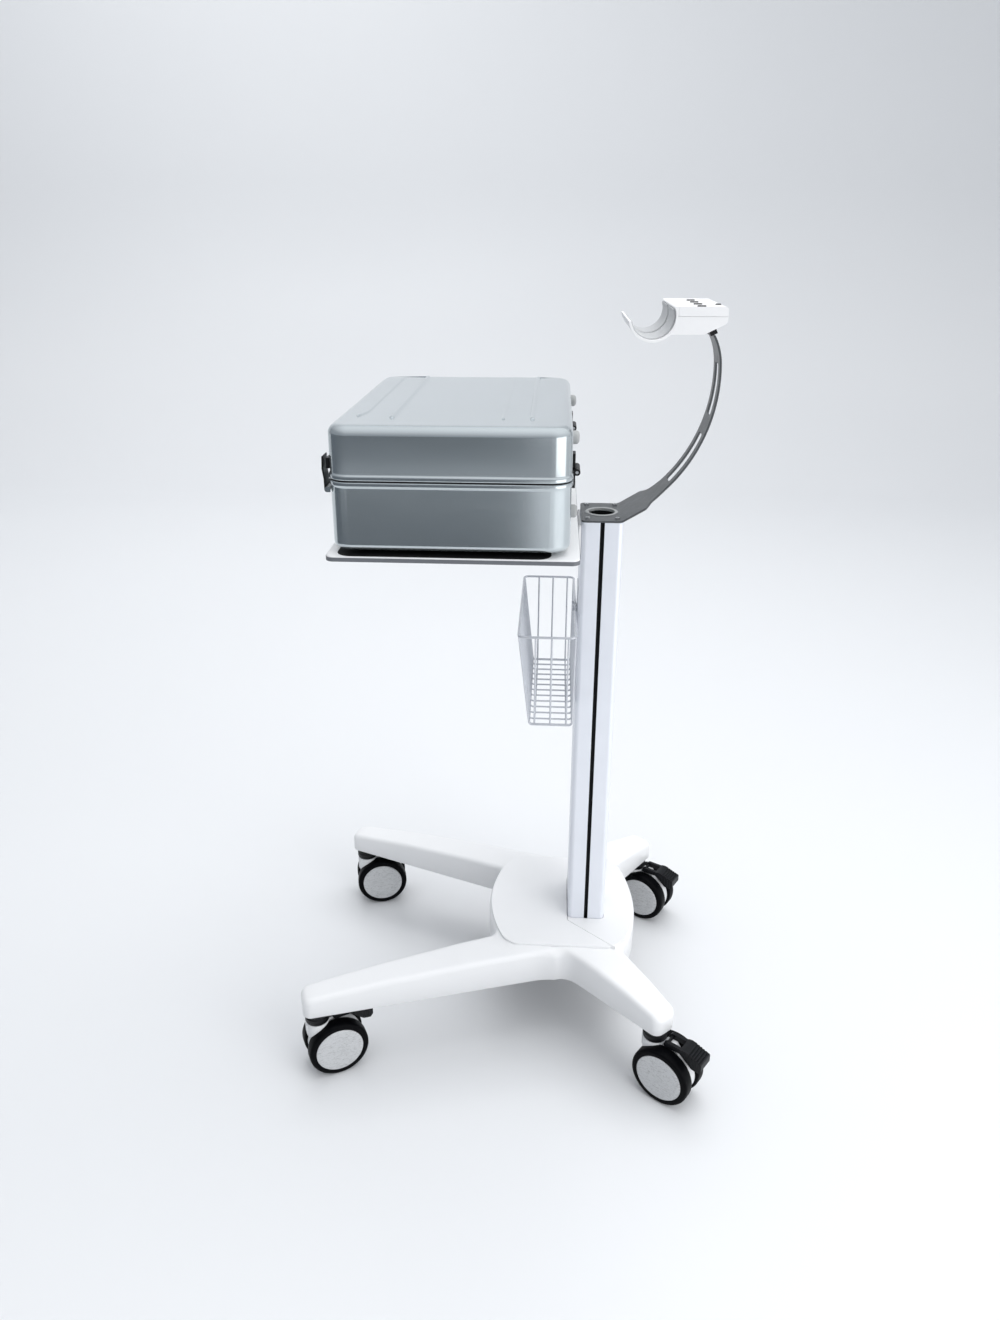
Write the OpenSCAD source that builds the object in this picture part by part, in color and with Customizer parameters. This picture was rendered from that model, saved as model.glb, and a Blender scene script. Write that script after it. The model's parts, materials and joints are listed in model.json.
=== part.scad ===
// Portable ultrasound console on a rolling stand: a clamshell console on a tray, a slotted column,
// a bent arm with a probe holder, a wire basket, and a four-legged base on twin-wheel casters.
// Frame: +Z up from the floor, origin on the floor under the column's axis.
// The user stands at -X and faces +X, so the right side is -Y.

/* [Casters] */
// Diameter of each wheel
wheel_d = 100; // [96:1:100]
// Width of one tyre
tyre_w = 22; // [18:1:22]
// Distance from the swivel axis back to the axle
caster_trail = 27; // [24:1:30]
// Height of the base's underside, where the stems enter
leg_floor_z = 122; // [120:1:126]

/* [Base] */
// Distance from the column's axis to the front stems
front_stem_x = 442; // [420:1:460]
// Distance from the column's axis to the rear stems
rear_stem_x = 110.5; // [100:0.5:115]
// Distance from the middle plane to each stem
stem_y = 232; // [225:1:236]
// Height of the base's deck
deck_z = 181; // [176:1:184]
// Wall of the moulded base
base_wall = 4; // [3:0.5:5]

/* [Column] */
// Column's size along X
column_w = 63; // [60:1:66]
// Column's size along Y
column_d = 105; // [100:1:110]
// Height of the column's top
column_top = 902; // [880:1:910]
// Opening of the slots in the column
slot_w = 6.5; // [6:0.5:8]

/* [Arm and probe holder] */
// Thickness of the arm's sheet
arm_t = 3; // [2.5:0.5:3]
// Width of the arm's curved strip
strip_w = 60; // [56:1:64]
// Radius of the cable hole in the arm's plate
cable_hole_r = 20; // [16:1:20]
// Length of the probe holder along Y
holder_len = 180; // [160:2:180]
// Inner radius of the probe cradle
cradle_r = 30; // [28:0.5:30]

/* [Console] */
// Console's size along X
case_w = 317.5; // [310:0.5:320]
// Console's size along Y
case_d = 474; // [466:1:476]
// Height of the console's top above the tray
case_h = 174; // [170:1:176]
// Height of the seam above the tray
seam_h = 100; // [98:1:102]
// Wall of the console's shells
shell_wall = 3; // [2.5:0.5:3.5]
// Radius of the console's upright corners
corner_r = 28; // [24:1:30]

/* [Tray and basket] */
// Height of the tray's top
tray_z = 903; // [900:1:903]
// Depth of the basket from rim to floor
basket_h = 149; // [140:1:155]
// Radius of the basket's rim wire
rim_wire_r = 1.9; // [1.6:0.1:2]
// Radius of the basket's other wires
wire_r = 1.4; // [1.2:0.1:1.5]

/* [Hidden] */
$fn = 48;
eps = 0.01;

// Casters: place of each stem and the yaw of its trail from +X.
fr = [-front_stem_x, -stem_y, 27];
fl = [-front_stem_x, stem_y, 13];
rr = [rear_stem_x, -stem_y, -35];
rl = [rear_stem_x, stem_y, -31];
CASTERS = [fr, fl, rr, rl];
wheel_r = wheel_d / 2;
tyre_in = 9;
tyre_out = tyre_in + tyre_w;
rim_r = wheel_r - 8;
stem_r = 5.5;
ring_r = 20;
ring_z = wheel_d + 1.5;
web_half = 7.5;
web_r = 45;
web_low = 20;
run_gap = 0.05;
pedal_pivot_x = caster_trail + 1;
pedal_pivot_z = wheel_d + 7;
pedal_pin_r = 2.5;
axle_r = 4;

// Base legs: middle of the tip, middle of the root, half widths there, and crown heights.
front_tip = [-464, 239];
front_root = [-100, 112];
rear_tip = [123, 250];
rear_root = [6, 114];
deck_rise = deck_z - leg_floor_z;
tip_corner_r = 13;
tip_half = 22;
front_half = 36;
rear_half = 40;
leg_lap = 25;
hub_lift = 0.5;
cover_t = 4;

// Column.
column_floor = 134;
column_r = 8;
bolt_r = 4;
frame_bolts = [for (x = [-18, 18], y = [-31, 31]) [x, y]];
plate_screws = [for (x = [-22, 22], y = [-40, 40]) [x, y]];

// Arm path in the XZ plane.
arc_c = [-72, 1110];
arc_r = 229.5;
arc_start = -53.4;
arc_mid = 5;
tip_r = 90;
arc_end = 30;
tip_c = arc_c + (arc_r - tip_r) * [cos(arc_mid), sin(arc_mid)];
ramp_start = [28, column_top + arm_t / 2];
ramp_end = arc_c + arc_r * [cos(arc_start), sin(arc_start)];
arm_tip = tip_c + tip_r * [cos(arc_end), sin(arc_end)];

// Probe holder's section in the XZ plane.
cradle_c = [53.5, 1196.5];
cradle_out = cradle_r + 3;
holder_top = 1211;
holder_split = 1197;
holder_right = 152;
holder_low = 1174;
slant_from = [124, 1176];
slant_to = [holder_right, 1189];
slant_a = atan2(slant_to[1] - slant_from[1], slant_to[0] - slant_from[0]);
lip_z = 1191;

// Console.
case_x0 = -50.5 - case_w;
case_x1 = -50.5;
case_cx = (case_x0 + case_x1) / 2;
case_z0 = tray_z + 6.5;
seam_z = tray_z + seam_h;
lid_z0 = seam_z + 1;
case_top = tray_z + case_h;
low_top = seam_z - 1;
bead_h = 7;
bead_out = 1.8;
deck_plate_z = seam_z - 18;
hinge_x = case_x1 + 7;
hinge_z = seam_z + 3;
hinge_y = 160;
latch_y = 205;
latch_x = case_x0 - 4;
latch_z = seam_z - 15;
handle_z = tray_z + 66;
handle_x = case_x0 - 8;
handle_half = 80;
handle_eye = 8;
handle_pin_r = 3;
latch_w = 24;
latch_pin_r = 1.5;
feet_xy = [for (x = [case_x0 + 45, case_x1 - 45], y = [-190, 190]) [x, y]];
knuckle = 10;
barrel_r = 4.5;
leaf_half = 20.6;
leaf_z = seam_z - 18;
rib_x = [-329, -290, -142, -104];
rib_y = [-175, 222];
screen_x = [-330, -110];
screen_half = 145;

// Controls on the deck plate, in plan.
ball_r = 19;
ball_z = deck_plate_z - 8;
ball_xy = [-298, 0];
gain_xy = [-300, -160];
freeze_xy = [-298, -80];
select_xy = [-298, 60];
power_xy = [-92, -195];
key_gap = 0.4;
fan_xyz = [-120, 205, 950];
socket_xz = [-225, 955];
inlet_yz = [112, 948];

// Tray.
tray_x0 = -376.5;
tray_x1 = -36.5;
tray_half = 243;
tray_t = 2;
tray_rim = 7;
bracket_x = -column_w / 2;
bracket_t = 3;
bracket_z = tray_z - tray_t;
bracket_screw_z = [856, 882];
tray_screws = [for (x = [-300, -120], y = [-60, 60]) [x, y]];

// Basket.
rim_z = 751;
floor_z = rim_z - basket_h;
rim_x = [-120.5, -35.6];
rim_y = 139;
floor_x = [-103, -37.6];
floor_y = 125;
cross_wires = 13;
long_wires = [-95, -71, -46.5];
lap = wire_r * 0.9;

// ---------- shared shapes ----------

module rounded_rect(x0, x1, half, r) {
    for (x = [x0 + r, x1 - r], y = [-half + r, half - r])
        translate([x, y]) circle(r);
    translate([x0 + r, -half]) square([x1 - x0 - 2 * r, 2 * half]);
    translate([x0, -half + r]) square([x1 - x0, 2 * half - 2 * r]);
}

// A shape drawn in the XZ plane and stretched along Y, centred on y.
module along_y(length, y = 0) {
    translate([0, y + length / 2, 0]) rotate([90, 0, 0]) linear_extrude(length) children();
}

module ring(r_out, r_in, h) {
    difference() {
        cylinder(r = r_out, h = h);
        translate([0, 0, -1]) cylinder(r = r_in, h = h + 2);
    }
}

// A straight eight-sided wire that runs just past its two end points.
module wire(a, b, r) {
    d = b - a;
    past = r * 0.6;
    translate(a) rotate([0, acos(d[2] / norm(d)), atan2(d[1], d[0])])
        translate([0, 0, -past]) cylinder(r = r, h = norm(d) + 2 * past, $fn = 8);
}

module at_caster(c) {
    translate([c[0], c[1], 0]) rotate(c[2]) children();
}

// ---------- base ----------

// One leg: its plan narrows to the tip, and its crown rises to the root. inset shrinks it for the cavity.
module leg(root, tip, half_root, half_tip, inset) {
    d = tip - root;
    len = norm(d);
    end = len - inset;
    hr = half_root - inset;
    ht = half_tip - inset;
    r = tip_corner_r - inset;
    floor_z = leg_floor_z - (inset > 0 ? 5 : 0);
    translate([root[0], root[1], 0]) rotate(atan2(d[1], d[0])) intersection() {
        translate([0, 0, floor_z]) linear_extrude(deck_rise + 5) {
            polygon([[-leg_lap, -hr], [end - r, -ht], [end - r, ht], [-leg_lap, hr]]);
            rounded_rect(end - 3 * r, end, ht, r);
        }
        along_y(200) polygon([[-leg_lap - 1, floor_z - 1], [len + 1, floor_z - 1],
            [len + 1, leg_floor_z + 34 - inset], [len - 18, leg_floor_z + 37 - inset],
            [0.65 * len, leg_floor_z + 48 - inset], [0.3 * len, deck_z - 3 - inset],
            [-leg_lap - 1, deck_z - 1 - inset]]);
    }
}

module hub_outline(inset) {
    intersection() {
        translate([79, 0]) circle(251 - inset, $fn = 160);
        translate([-213, 0]) circle(301 - inset, $fn = 160);
        translate([-42, 0]) circle(154 - inset, $fn = 120);
        translate([-300, -131 + inset]) square([600, 262 - 2 * inset]);
    }
}

module base_form(inset) {
    for (s = [-1, 1]) {
        leg([front_root[0], s * front_root[1]], [front_tip[0], s * front_tip[1]],
            front_half, tip_half, inset);
        leg([rear_root[0], s * rear_root[1]], [rear_tip[0], s * rear_tip[1]],
            rear_half, tip_half, inset);
    }
    translate([0, 0, leg_floor_z + (inset > 0 ? -5 : hub_lift)])
        linear_extrude(deck_rise - (inset > 0 ? inset - 5 : hub_lift)) hub_outline(inset);
}

module column_outline(gap) {
    w = column_w / 2 + gap;
    d = column_d / 2 + gap;
    rounded_rect(-w, w, d, column_r + gap);
}

module base_shell() {
    color("white") difference() {
        base_form(0);
        base_form(base_wall);
        translate([0, 0, deck_z - 20]) linear_extrude(40) column_outline(0.4);
    }
}

// Welded steel cross inside the base: four tubes, a middle plate and a socket over each stem.
module base_frame() {
    tube_h = 18;
    tube_w = 22;
    boss_r = 13;
    tube_lap = 50;
    color("dimgray") difference() {
        union() {
            translate([-140, -90, leg_floor_z]) cube([200, 180, column_floor - leg_floor_z]);
            for (c = CASTERS) {
                root = c[0] < 0 ? front_root : rear_root;
                from = [root[0], sign(c[1]) * root[1]];
                d = [c[0], c[1]] - from;
                translate([from[0], from[1], leg_floor_z]) rotate(atan2(d[1], d[0]))
                    translate([-tube_lap, -tube_w / 2, 0]) cube([norm(d) + tube_lap, tube_w, tube_h]);
                translate([c[0], c[1], leg_floor_z]) cylinder(r = boss_r, h = tube_h + 4);
            }
        }
        for (c = CASTERS) translate([c[0], c[1], leg_floor_z - 1]) cylinder(r = stem_r, h = 40);
        for (b = frame_bolts) translate([b[0], b[1], leg_floor_z - 1]) cylinder(r = bolt_r, h = 20);
    }
}

module cover_solid() {
    difference() {
        translate([0, 0, deck_z]) linear_extrude(cover_t) hub_outline(3.5);
        translate([0, 0, deck_z - 1]) linear_extrude(20) column_outline(0.6);
    }
}

// The cover is split on two slanted lines from the column to the sides, so that it lifts off.
module cover_rear_zone(gap) {
    seam = [[-32, 60], [60, 138]];
    translate([gap, 0, deck_z - 2]) linear_extrude(30) polygon(concat(
        [for (p = seam) [p[0], -p[1]]], [[200, -seam[1][1]], [200, seam[1][1]]], [seam[1], seam[0]]));
}

module hub_cover_front() {
    color("white") difference() {
        cover_solid();
        cover_rear_zone(0);
    }
}

module hub_cover_rear() {
    color("white") intersection() {
        cover_solid();
        cover_rear_zone(0.5);
    }
}

// ---------- column and arm ----------

module column() {
    side_slot = 4.5;
    color("gainsboro") translate([0, 0, column_floor]) linear_extrude(column_top - column_floor)
        difference() {
        column_outline(0);
        circle(cable_hole_r + 2, $fn = 64);
        for (s = [-1, 1]) {
            translate([0, s * 31]) circle(4.2);
            translate([-slot_w / 2, s * (column_d / 2 - 3) - 4]) square([slot_w, 8]);
            translate([-7, s * (column_d / 2 - 7) - 3.5]) square([14, 7]);
            translate([s * (column_w / 2 - 1.5) - 2.5, -slot_w / 2]) square([5, slot_w]);
            translate([s * (column_w / 2 - 4.5) - 1.75, -6]) square([3.5, 12]);
        }
        for (b = frame_bolts) translate(b) circle(bolt_r);
    }
}

module screw_head(r) {
    difference() {
        cylinder(r = r, h = 2.2);
        translate([0, 0, 1]) cylinder(r = r * 0.45, h = 3, $fn = 6);
    }
}

module frame_screws() {
    color("silver") {
        for (p = plate_screws) translate([p[0], p[1], column_top + arm_t]) {
            screw_head(3.4);
            translate([0, 0, -arm_t]) cylinder(r = 1.95, h = arm_t + eps);
        }
        for (b = frame_bolts) translate([b[0], b[1], leg_floor_z - 3]) {
            cylinder(r = bolt_r + 2.5, h = 3);
            cylinder(r = bolt_r - 0.02, h = 32);
        }
        for (z = bracket_screw_z) translate([bracket_x - bracket_t, 0, z]) rotate([0, -90, 0])
            screw_head(5);
        for (p = tray_screws) translate([p[0], p[1], bracket_z - 3]) rotate([180, 0, 0]) screw_head(4.5);
    }
}

// Flat sheet from a to b, drawn as a section in the XZ plane.
module section_bar(a, b, t) {
    d = b - a;
    translate(a) rotate(atan2(d[1], d[0])) translate([0, -t / 2]) square([norm(d), t]);
}

// Curved sheet round c from angle a0 to a1, drawn as a section in the XZ plane.
module section_arc(c, r, a0, a1, t) {
    far = 2 * r;
    translate(c) intersection() {
        difference() {
            circle(r + t / 2, $fn = 240);
            circle(r - t / 2, $fn = 240);
        }
        polygon([[0, 0], for (a = [a0, (a0 + a1) / 2, a1]) far * [cos(a), sin(a)]]);
    }
}

// The sheet's outline from above: square plate, shoulders, then the narrow strip.
module arm_plan() {
    plate_half = column_d / 2 + 0.5;
    neck = ramp_end[0];
    half = [[-column_w / 2, plate_half], [neck - 6, plate_half], [neck, plate_half - 6],
        [neck + 9, 36], [neck + 24, strip_w / 2], [200, strip_w / 2]];
    last = len(half) - 1;
    polygon([for (p = half) p, for (k = [last : -1 : 0]) [half[k][0], -half[k][1]]]);
}

module arm() {
    color("gray") difference() {
        intersection() {
            union() {
                along_y(120) translate([-column_w / 2, column_top])
                    square([ramp_start[0] + column_w / 2 + 0.3, arm_t]);
                along_y(120) section_bar(ramp_start, ramp_end + [0.8, 0.5], arm_t);
                along_y(120) section_arc(arc_c, arc_r, arc_start, arc_mid + 0.3, arm_t);
                along_y(120) section_arc(tip_c, tip_r, arc_mid - 1.5, arc_end, arm_t - 0.4);
            }
            translate([0, 0, column_top - 10]) linear_extrude(400) arm_plan();
        }
        translate([0, 0, column_top - 1]) cylinder(r = cable_hole_r + 3, h = arm_t + 2, $fn = 64);
        for (p = plate_screws) translate([p[0], p[1], column_top - 1]) cylinder(r = 2, h = arm_t + 2);
        arm_slot(-42.5, -21.5);
        arm_slot(-14.5, 4.5);
    }
}

// A long slot through the curved strip, between two angles of its arc.
module arm_slot(a0, a1) {
    bar = 12;
    along_y(strip_w - 2 * bar) section_arc(arc_c, arc_r, a0, a1, 10);
}

module cable_grommet() {
    color("white") translate([0, 0, column_top]) {
        ring(cable_hole_r + 2.9, cable_hole_r, arm_t);
        translate([0, 0, arm_t]) ring(cable_hole_r + 5, cable_hole_r, 1);
    }
}

// The arm's end passes through the collar into the holder's slanted face.
module at_arm_tip() {
    translate([arm_tip[0], 0, arm_tip[1]]) rotate([0, -slant_a, 0]) children();
}

module arm_collar() {
    color("black") at_arm_tip() translate([0, 0, 2]) difference() {
        translate([-5, -strip_w / 2 - 3, 0]) cube([10, strip_w + 6, 8]);
        translate([-arm_t / 2, -strip_w / 2, -1]) cube([arm_t, strip_w, 20]);
    }
}

// ---------- probe holder ----------

module holder_section() {
    difference() {
        union() {
            polygon([[62, holder_low], [120, holder_low], slant_from, slant_to,
                [holder_right, holder_top], [84, holder_top], [62, 1190]]);
            translate(cradle_c) circle(cradle_out, $fn = 96);
        }
        translate(cradle_c) circle(cradle_r, $fn = 96);
        translate([0, lip_z]) square([cradle_c[0], 60]);
        translate([cradle_c[0] - 1, holder_top]) square([60, 40]);
        translate([cradle_c[0] - 1, cradle_c[1] + 12]) square([22, 40]);
    }
}

module holder_body() {
    color("white") difference() {
        along_y(holder_len) difference() {
            holder_section();
            translate([86.5, holder_split]) square([80, 40]);
        }
        along_y(holder_len - 6) polygon([[90, holder_low + 4], [121, holder_low + 4],
            slant_to + [-3, 2.5], [holder_right - 3, 1200], [90, 1200]]);
        at_arm_tip() translate([-5.05, -strip_w / 2 - 3.05, -30]) cube([10.1, strip_w + 6.1, 60]);
    }
}

module holder_lid() {
    slots = 4;
    pitch = 41;
    color("white") difference() {
        along_y(holder_len) difference() {
            translate([86.6, holder_split + 0.1])
                square([holder_right - 86.6, holder_top - holder_split - 0.1]);
            translate([90, holder_split - 1]) square([holder_right - 93, 9]);
        }
        for (k = [0 : slots - 1]) translate([111, pitch - 3 - k * pitch, holder_top - 2.5])
            cube([12, 6, 10]);
        translate([144, -45, holder_top - 1.2]) cylinder(r = 4, h = 5);
    }
}

// Two soft liners on the cradle's inner face, one at each end.
module holder_liners() {
    liner_len = 74;
    color("lightgray") for (s = [-1, 1]) along_y(liner_len, s * (holder_len / 4)) difference() {
        translate(cradle_c) circle(cradle_r - 0.05, $fn = 96);
        translate(cradle_c) circle(cradle_r - 2.5, $fn = 96);
        translate([0, lip_z + 1.5]) square([cradle_c[0], 60]);
        translate([cradle_c[0] - 1, cradle_c[1] + 10]) square([60, 40]);
    }
}

// ---------- tray and basket ----------

module tray() {
    color("white") difference() {
        translate([0, 0, tray_z - tray_rim]) linear_extrude(tray_rim)
            rounded_rect(tray_x0, tray_x1, tray_half, 12);
        translate([0, 0, tray_z - tray_rim - 1]) linear_extrude(tray_rim + 1 - tray_t)
            rounded_rect(tray_x0 + 2, tray_x1 - 2, tray_half - 2, 10);
    }
}

module tray_bracket() {
    drop = 60;
    reach = 300;
    color("white") difference() {
        union() {
            translate([bracket_x - bracket_t, -50, bracket_z - drop]) cube([bracket_t, 100, drop - 5.5]);
            translate([bracket_x - reach, -80, bracket_z - 3]) cube([reach - 8, 160, 3]);
            for (s = [-1, 1]) along_y(3, s * 45) translate([bracket_x, bracket_z]) polygon([[-1, -drop],
                [-1, -6], [-8, -6], [-8, -1], [-220, -1], [-220, -10], [-20, -drop]]);
        }
        for (p = tray_screws) translate([p[0], p[1], bracket_z - 5]) cylinder(r = 2.2, h = 10);
        for (z = bracket_screw_z) translate([bracket_x - 5, 0, z]) rotate([0, 90, 0])
            cylinder(r = 3, h = 10);
    }
}

// Hooks open upwards, so the basket's rim lifts out of them.
module basket_bracket() {
    hook_gap = 10.4;
    lip_x = rim_x[1] - rim_wire_r - 0.3;
    color("white") {
        translate([bracket_x - 1.5, -20, 690]) cube([1.5, 40, 100]);
        for (s = [-1, 1]) along_y(6, s * hook_gap) difference() {
            translate([lip_x - 2.5, rim_z - rim_wire_r - 3]) square([bracket_x - 1 - lip_x + 2.5, 10]);
            translate([lip_x, rim_z - rim_wire_r - 0.3]) square([bracket_x - 1.5 - lip_x - 0.2, 30]);
        }
    }
}

function mix(a, b, t) = a + (b - a) * t;
function corners(x, y, z) = [[x[0], -y, z], [x[1], -y, z], [x[1], y, z], [x[0], y, z]];

module basket() {
    rim = corners(rim_x, rim_y, rim_z);
    bottom = corners(floor_x, floor_y, floor_z);
    color("white") {
        for (i = [0 : 3]) {
            j = (i + 1) % 4;
            wire(rim[i], rim[j], rim_wire_r);
            wire(bottom[i], bottom[j], wire_r);
            wire(rim[i], bottom[i], wire_r);
        }
        for (k = [1 : cross_wires - 2]) {
            t = k / (cross_wires - 1);
            top_y = mix(-rim_y, rim_y, t);
            low_y = mix(-floor_y, floor_y, t);
            wire([rim_x[0], top_y, rim_z], [floor_x[0], low_y, floor_z], wire_r);
            wire([floor_x[0], low_y, floor_z], [floor_x[1], low_y, floor_z], wire_r);
            wire([floor_x[1], low_y, floor_z], [rim_x[1], top_y, rim_z], wire_r);
        }
        for (x = long_wires) {
            wire([x, -rim_y, rim_z], [x, -floor_y, floor_z - lap], wire_r);
            wire([x, -floor_y, floor_z - lap], [x, floor_y, floor_z - lap], wire_r);
            wire([x, floor_y, floor_z - lap], [x, rim_y, rim_z], wire_r);
        }
    }
}

// ---------- console: lower shell ----------

// Closed shell form with rounded upright corners; the edge steps in towards z_round.
module shell_form(z_flat, z_round, edge, inset) {
    r = corner_r - inset;
    half = case_d / 2 - inset;
    s = sign(z_round - z_flat);
    zr = z_round - s * inset;
    hull() for (x = [case_x0 + inset + r, case_x1 - inset - r], y = [-half + r, half - r], k = [0 : 4]) {
        a = k * 22.5;
        z = zr - s * edge * (1 - sin(a));
        translate([x, y, min(z, z_flat)])
            cylinder(r = r - edge * (1 - cos(a)), h = abs(z - z_flat), $fn = 32);
    }
}

module bead(z) {
    translate([0, 0, z]) linear_extrude(bead_h) difference() {
        rounded_rect(case_x0 - bead_out, case_x1 + bead_out, case_d / 2 + bead_out, corner_r + bead_out);
        rounded_rect(case_x0 + 1, case_x1 - 1, case_d / 2 - 1, corner_r - 1);
    }
}

// A pair of cheeks on the lower shell's front with a pin between them, for a part of that width.
module pivot_lug(x, y, z, r, pin, width) {
    cheek = 3;
    off = width / 2 + 0.5 + cheek / 2;
    for (t = [-1, 1]) along_y(cheek, y + t * off) {
        translate([x, z]) circle(r);
        translate([x, z - r]) square([case_x0 + 1 - x, 2 * r]);
    }
    translate([x, y - off, z]) rotate([-90, 0, 0]) cylinder(r = pin, h = 2 * off);
}

module lower_shell() {
    color("white") {
        difference() {
            union() {
                shell_form(low_top, case_z0, 9, 0);
                bead(low_top - bead_h);
            }
            shell_cuts();
        }
        for (s = [-1, 1]) {
            pivot_lug(handle_x, s * handle_half, handle_z, 6.5, handle_pin_r, handle_eye);
            pivot_lug(latch_x, s * latch_y, latch_z, 3.4, latch_pin_r, latch_w);
        }
    }
}

module shell_cuts() {
    shell_form(low_top + 5, case_z0, 9, shell_wall);
    // opening for the probe socket on the left side
    translate([socket_xz[0] - 45, case_d / 2 - 10, socket_xz[1] - 16]) cube([90, 20, 32]);
    // opening for the mains inlet on the rear
    translate([case_x1 - 10, inlet_yz[0] - 14, inlet_yz[1] - 10]) cube([20, 28, 20]);
    // air slots on the left side, beside the fan
    for (k = [0 : 7]) translate([fan_xyz[0] - 24 + k * 6, case_d / 2 - 10, fan_xyz[2] - 20])
        cube([3, 20, 40]);
    // wells for the feet
    for (f = feet_xy) translate([f[0], f[1], case_z0 - 1]) cylinder(r = 4, h = 10);
}

module shell_feet() {
    color("black") {
        for (f = feet_xy) translate([f[0], f[1], tray_z]) {
            cylinder(r = 14, h = case_z0 - tray_z);
            cylinder(r = 3.95, h = case_z0 - tray_z + 3);
        }
        for (s = [-1, 1]) translate([case_x1, s * 155, tray_z + 44]) rotate([0, 90, 0]) bumper();
    }
}

// Round rubber bumper with a domed end.
module bumper() {
    cylinder(r = 9, h = 6.5);
    translate([0, 0, 6.5]) cylinder(r1 = 9, r2 = 5.5, h = 3, $fn = 48);
}

module rim_seal() {
    color("black") translate([0, 0, low_top]) linear_extrude(1.6) difference() {
        rounded_rect(case_x0 + 0.6, case_x1 - 0.6, case_d / 2 - 0.6, corner_r - 0.6);
        rounded_rect(case_x0 + 2.9, case_x1 - 2.9, case_d / 2 - 2.9, corner_r - 2.9);
    }
}

// Deck plate with the openings for the controls.
module control_deck() {
    gap = 0.2;
    color("gray") difference() {
        union() {
            translate([0, 0, deck_plate_z]) linear_extrude(3) rounded_rect(case_x0 + shell_wall + gap,
                case_x1 - shell_wall - gap, case_d / 2 - shell_wall - gap, corner_r - shell_wall - gap);
            translate([ball_xy[0], ball_xy[1], deck_plate_z + 3]) ring(25, ball_r - 1, 3);
            translate([ball_xy[0], ball_xy[1], ball_z - ball_r - 3])
                cylinder(r = ball_r + 3, h = deck_plate_z - ball_z + ball_r + 3 + eps);
            translate([gain_xy[0], gain_xy[1], deck_plate_z - 14]) cylinder(r = 8, h = 14 + eps);
        }
        translate([ball_xy[0], ball_xy[1], ball_z]) sphere(ball_r + 0.5, $fn = 64);
        translate([gain_xy[0], gain_xy[1], deck_plate_z - 12]) cylinder(r = 3.05, h = 30);
        translate([freeze_xy[0], freeze_xy[1], deck_plate_z - 1]) cylinder(r = 11 + key_gap, h = 10);
        translate([power_xy[0], power_xy[1], deck_plate_z - 1]) cylinder(r = 9 + key_gap, h = 10);
        translate([select_xy[0] - 9 - key_gap, select_xy[1] - 15 - key_gap, deck_plate_z - 1])
            cube([18 + 2 * key_gap, 30 + 2 * key_gap, 10]);
    }
}

// Sealed silicone keypad: one sheet with raised keys.
module keypad() {
    rows = 5;
    cols = 13;
    pitch = 17.5;
    color("lightgray") translate([0, 0, deck_plate_z + 3]) {
        translate([-228, -cols * pitch / 2 - 4, 0]) cube([rows * pitch + 8, cols * pitch + 8, 1.6]);
        for (i = [0 : rows - 1], j = [0 : cols - 1])
            translate([-224 + i * pitch + 1.5, -cols * pitch / 2 + j * pitch + 1.5, 1.6])
                cube([pitch - 3, pitch - 3, 3]);
    }
}

module trackball() {
    color("dimgray") translate([ball_xy[0], ball_xy[1], ball_z]) sphere(ball_r, $fn = 64);
}

module gain_knob() {
    grips = 18;
    color("dimgray") translate([gain_xy[0], gain_xy[1], deck_plate_z]) {
        translate([0, 0, 3.4]) difference() {
            cylinder(r = 14, h = 10);
            for (k = [0 : grips - 1]) rotate(k * 360 / grips) translate([14.6, 0, 1.5])
                cylinder(r = 1.4, h = 12, $fn = 16);
        }
        translate([0, 0, -11]) cylinder(r = 3, h = 15);
    }
}

module round_key(r, xy) {
    translate([xy[0], xy[1], deck_plate_z - 5]) cylinder(r = r, h = 13);
    translate([xy[0], xy[1], deck_plate_z - 5]) cylinder(r = r + 2, h = 2);
}

module freeze_key() {
    color("royalblue") round_key(11, freeze_xy);
}

module power_button() {
    color("seagreen") round_key(9, power_xy);
}

module select_key() {
    color("lightgray") translate([select_xy[0], select_xy[1], deck_plate_z - 5]) {
        translate([-9, -15, 0]) cube([18, 30, 13]);
        translate([-11, -17, 0]) cube([22, 34, 2]);
    }
}

module main_board() {
    color("darkgreen") {
        translate([-330, -150, case_z0 + 8]) cube([170, 300, 1.6]);
        for (x = [-310, -190], y = [-130, 130]) translate([x, y, case_z0 + 3]) cylinder(r = 4, h = 5 + eps);
        for (y = [-110 : 55 : 110]) translate([-300, y - 15, case_z0 + 9.6 - eps]) cube([30, 30, 3]);
        for (y = [-80, 80]) translate([-235, y - 30, case_z0 + 9.6 - eps]) cube([45, 60, 12]);
    }
}

module power_supply() {
    color("silver") difference() {
        translate([-150, -130, case_z0 + 3]) cube([85, 180, 45]);
        for (i = [0 : 5], j = [0 : 11]) translate([-142 + i * 13, -122 + j * 14, case_z0 + 40])
            cylinder(r = 3, h = 20, $fn = 16);
    }
}

module fan_frame() {
    s = 25;
    color("black") translate(fan_xyz) rotate([-90, 0, 0]) {
        difference() {
            translate([-s, -s, 0]) cube([2 * s, 2 * s, 15]);
            translate([0, 0, -1]) cylinder(r = 23, h = 20);
            for (x = [-1, 1], y = [-1, 1]) translate([x * 21, y * 21, -1]) cylinder(r = 1.8, h = 20);
        }
        cylinder(r = 9, h = 2);
        for (k = [0 : 3]) rotate(k * 90 + 20) translate([0, -1.5, 0]) cube([23.4, 3, 2]);
        cylinder(r = 1.5, h = 12);
    }
}

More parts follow.
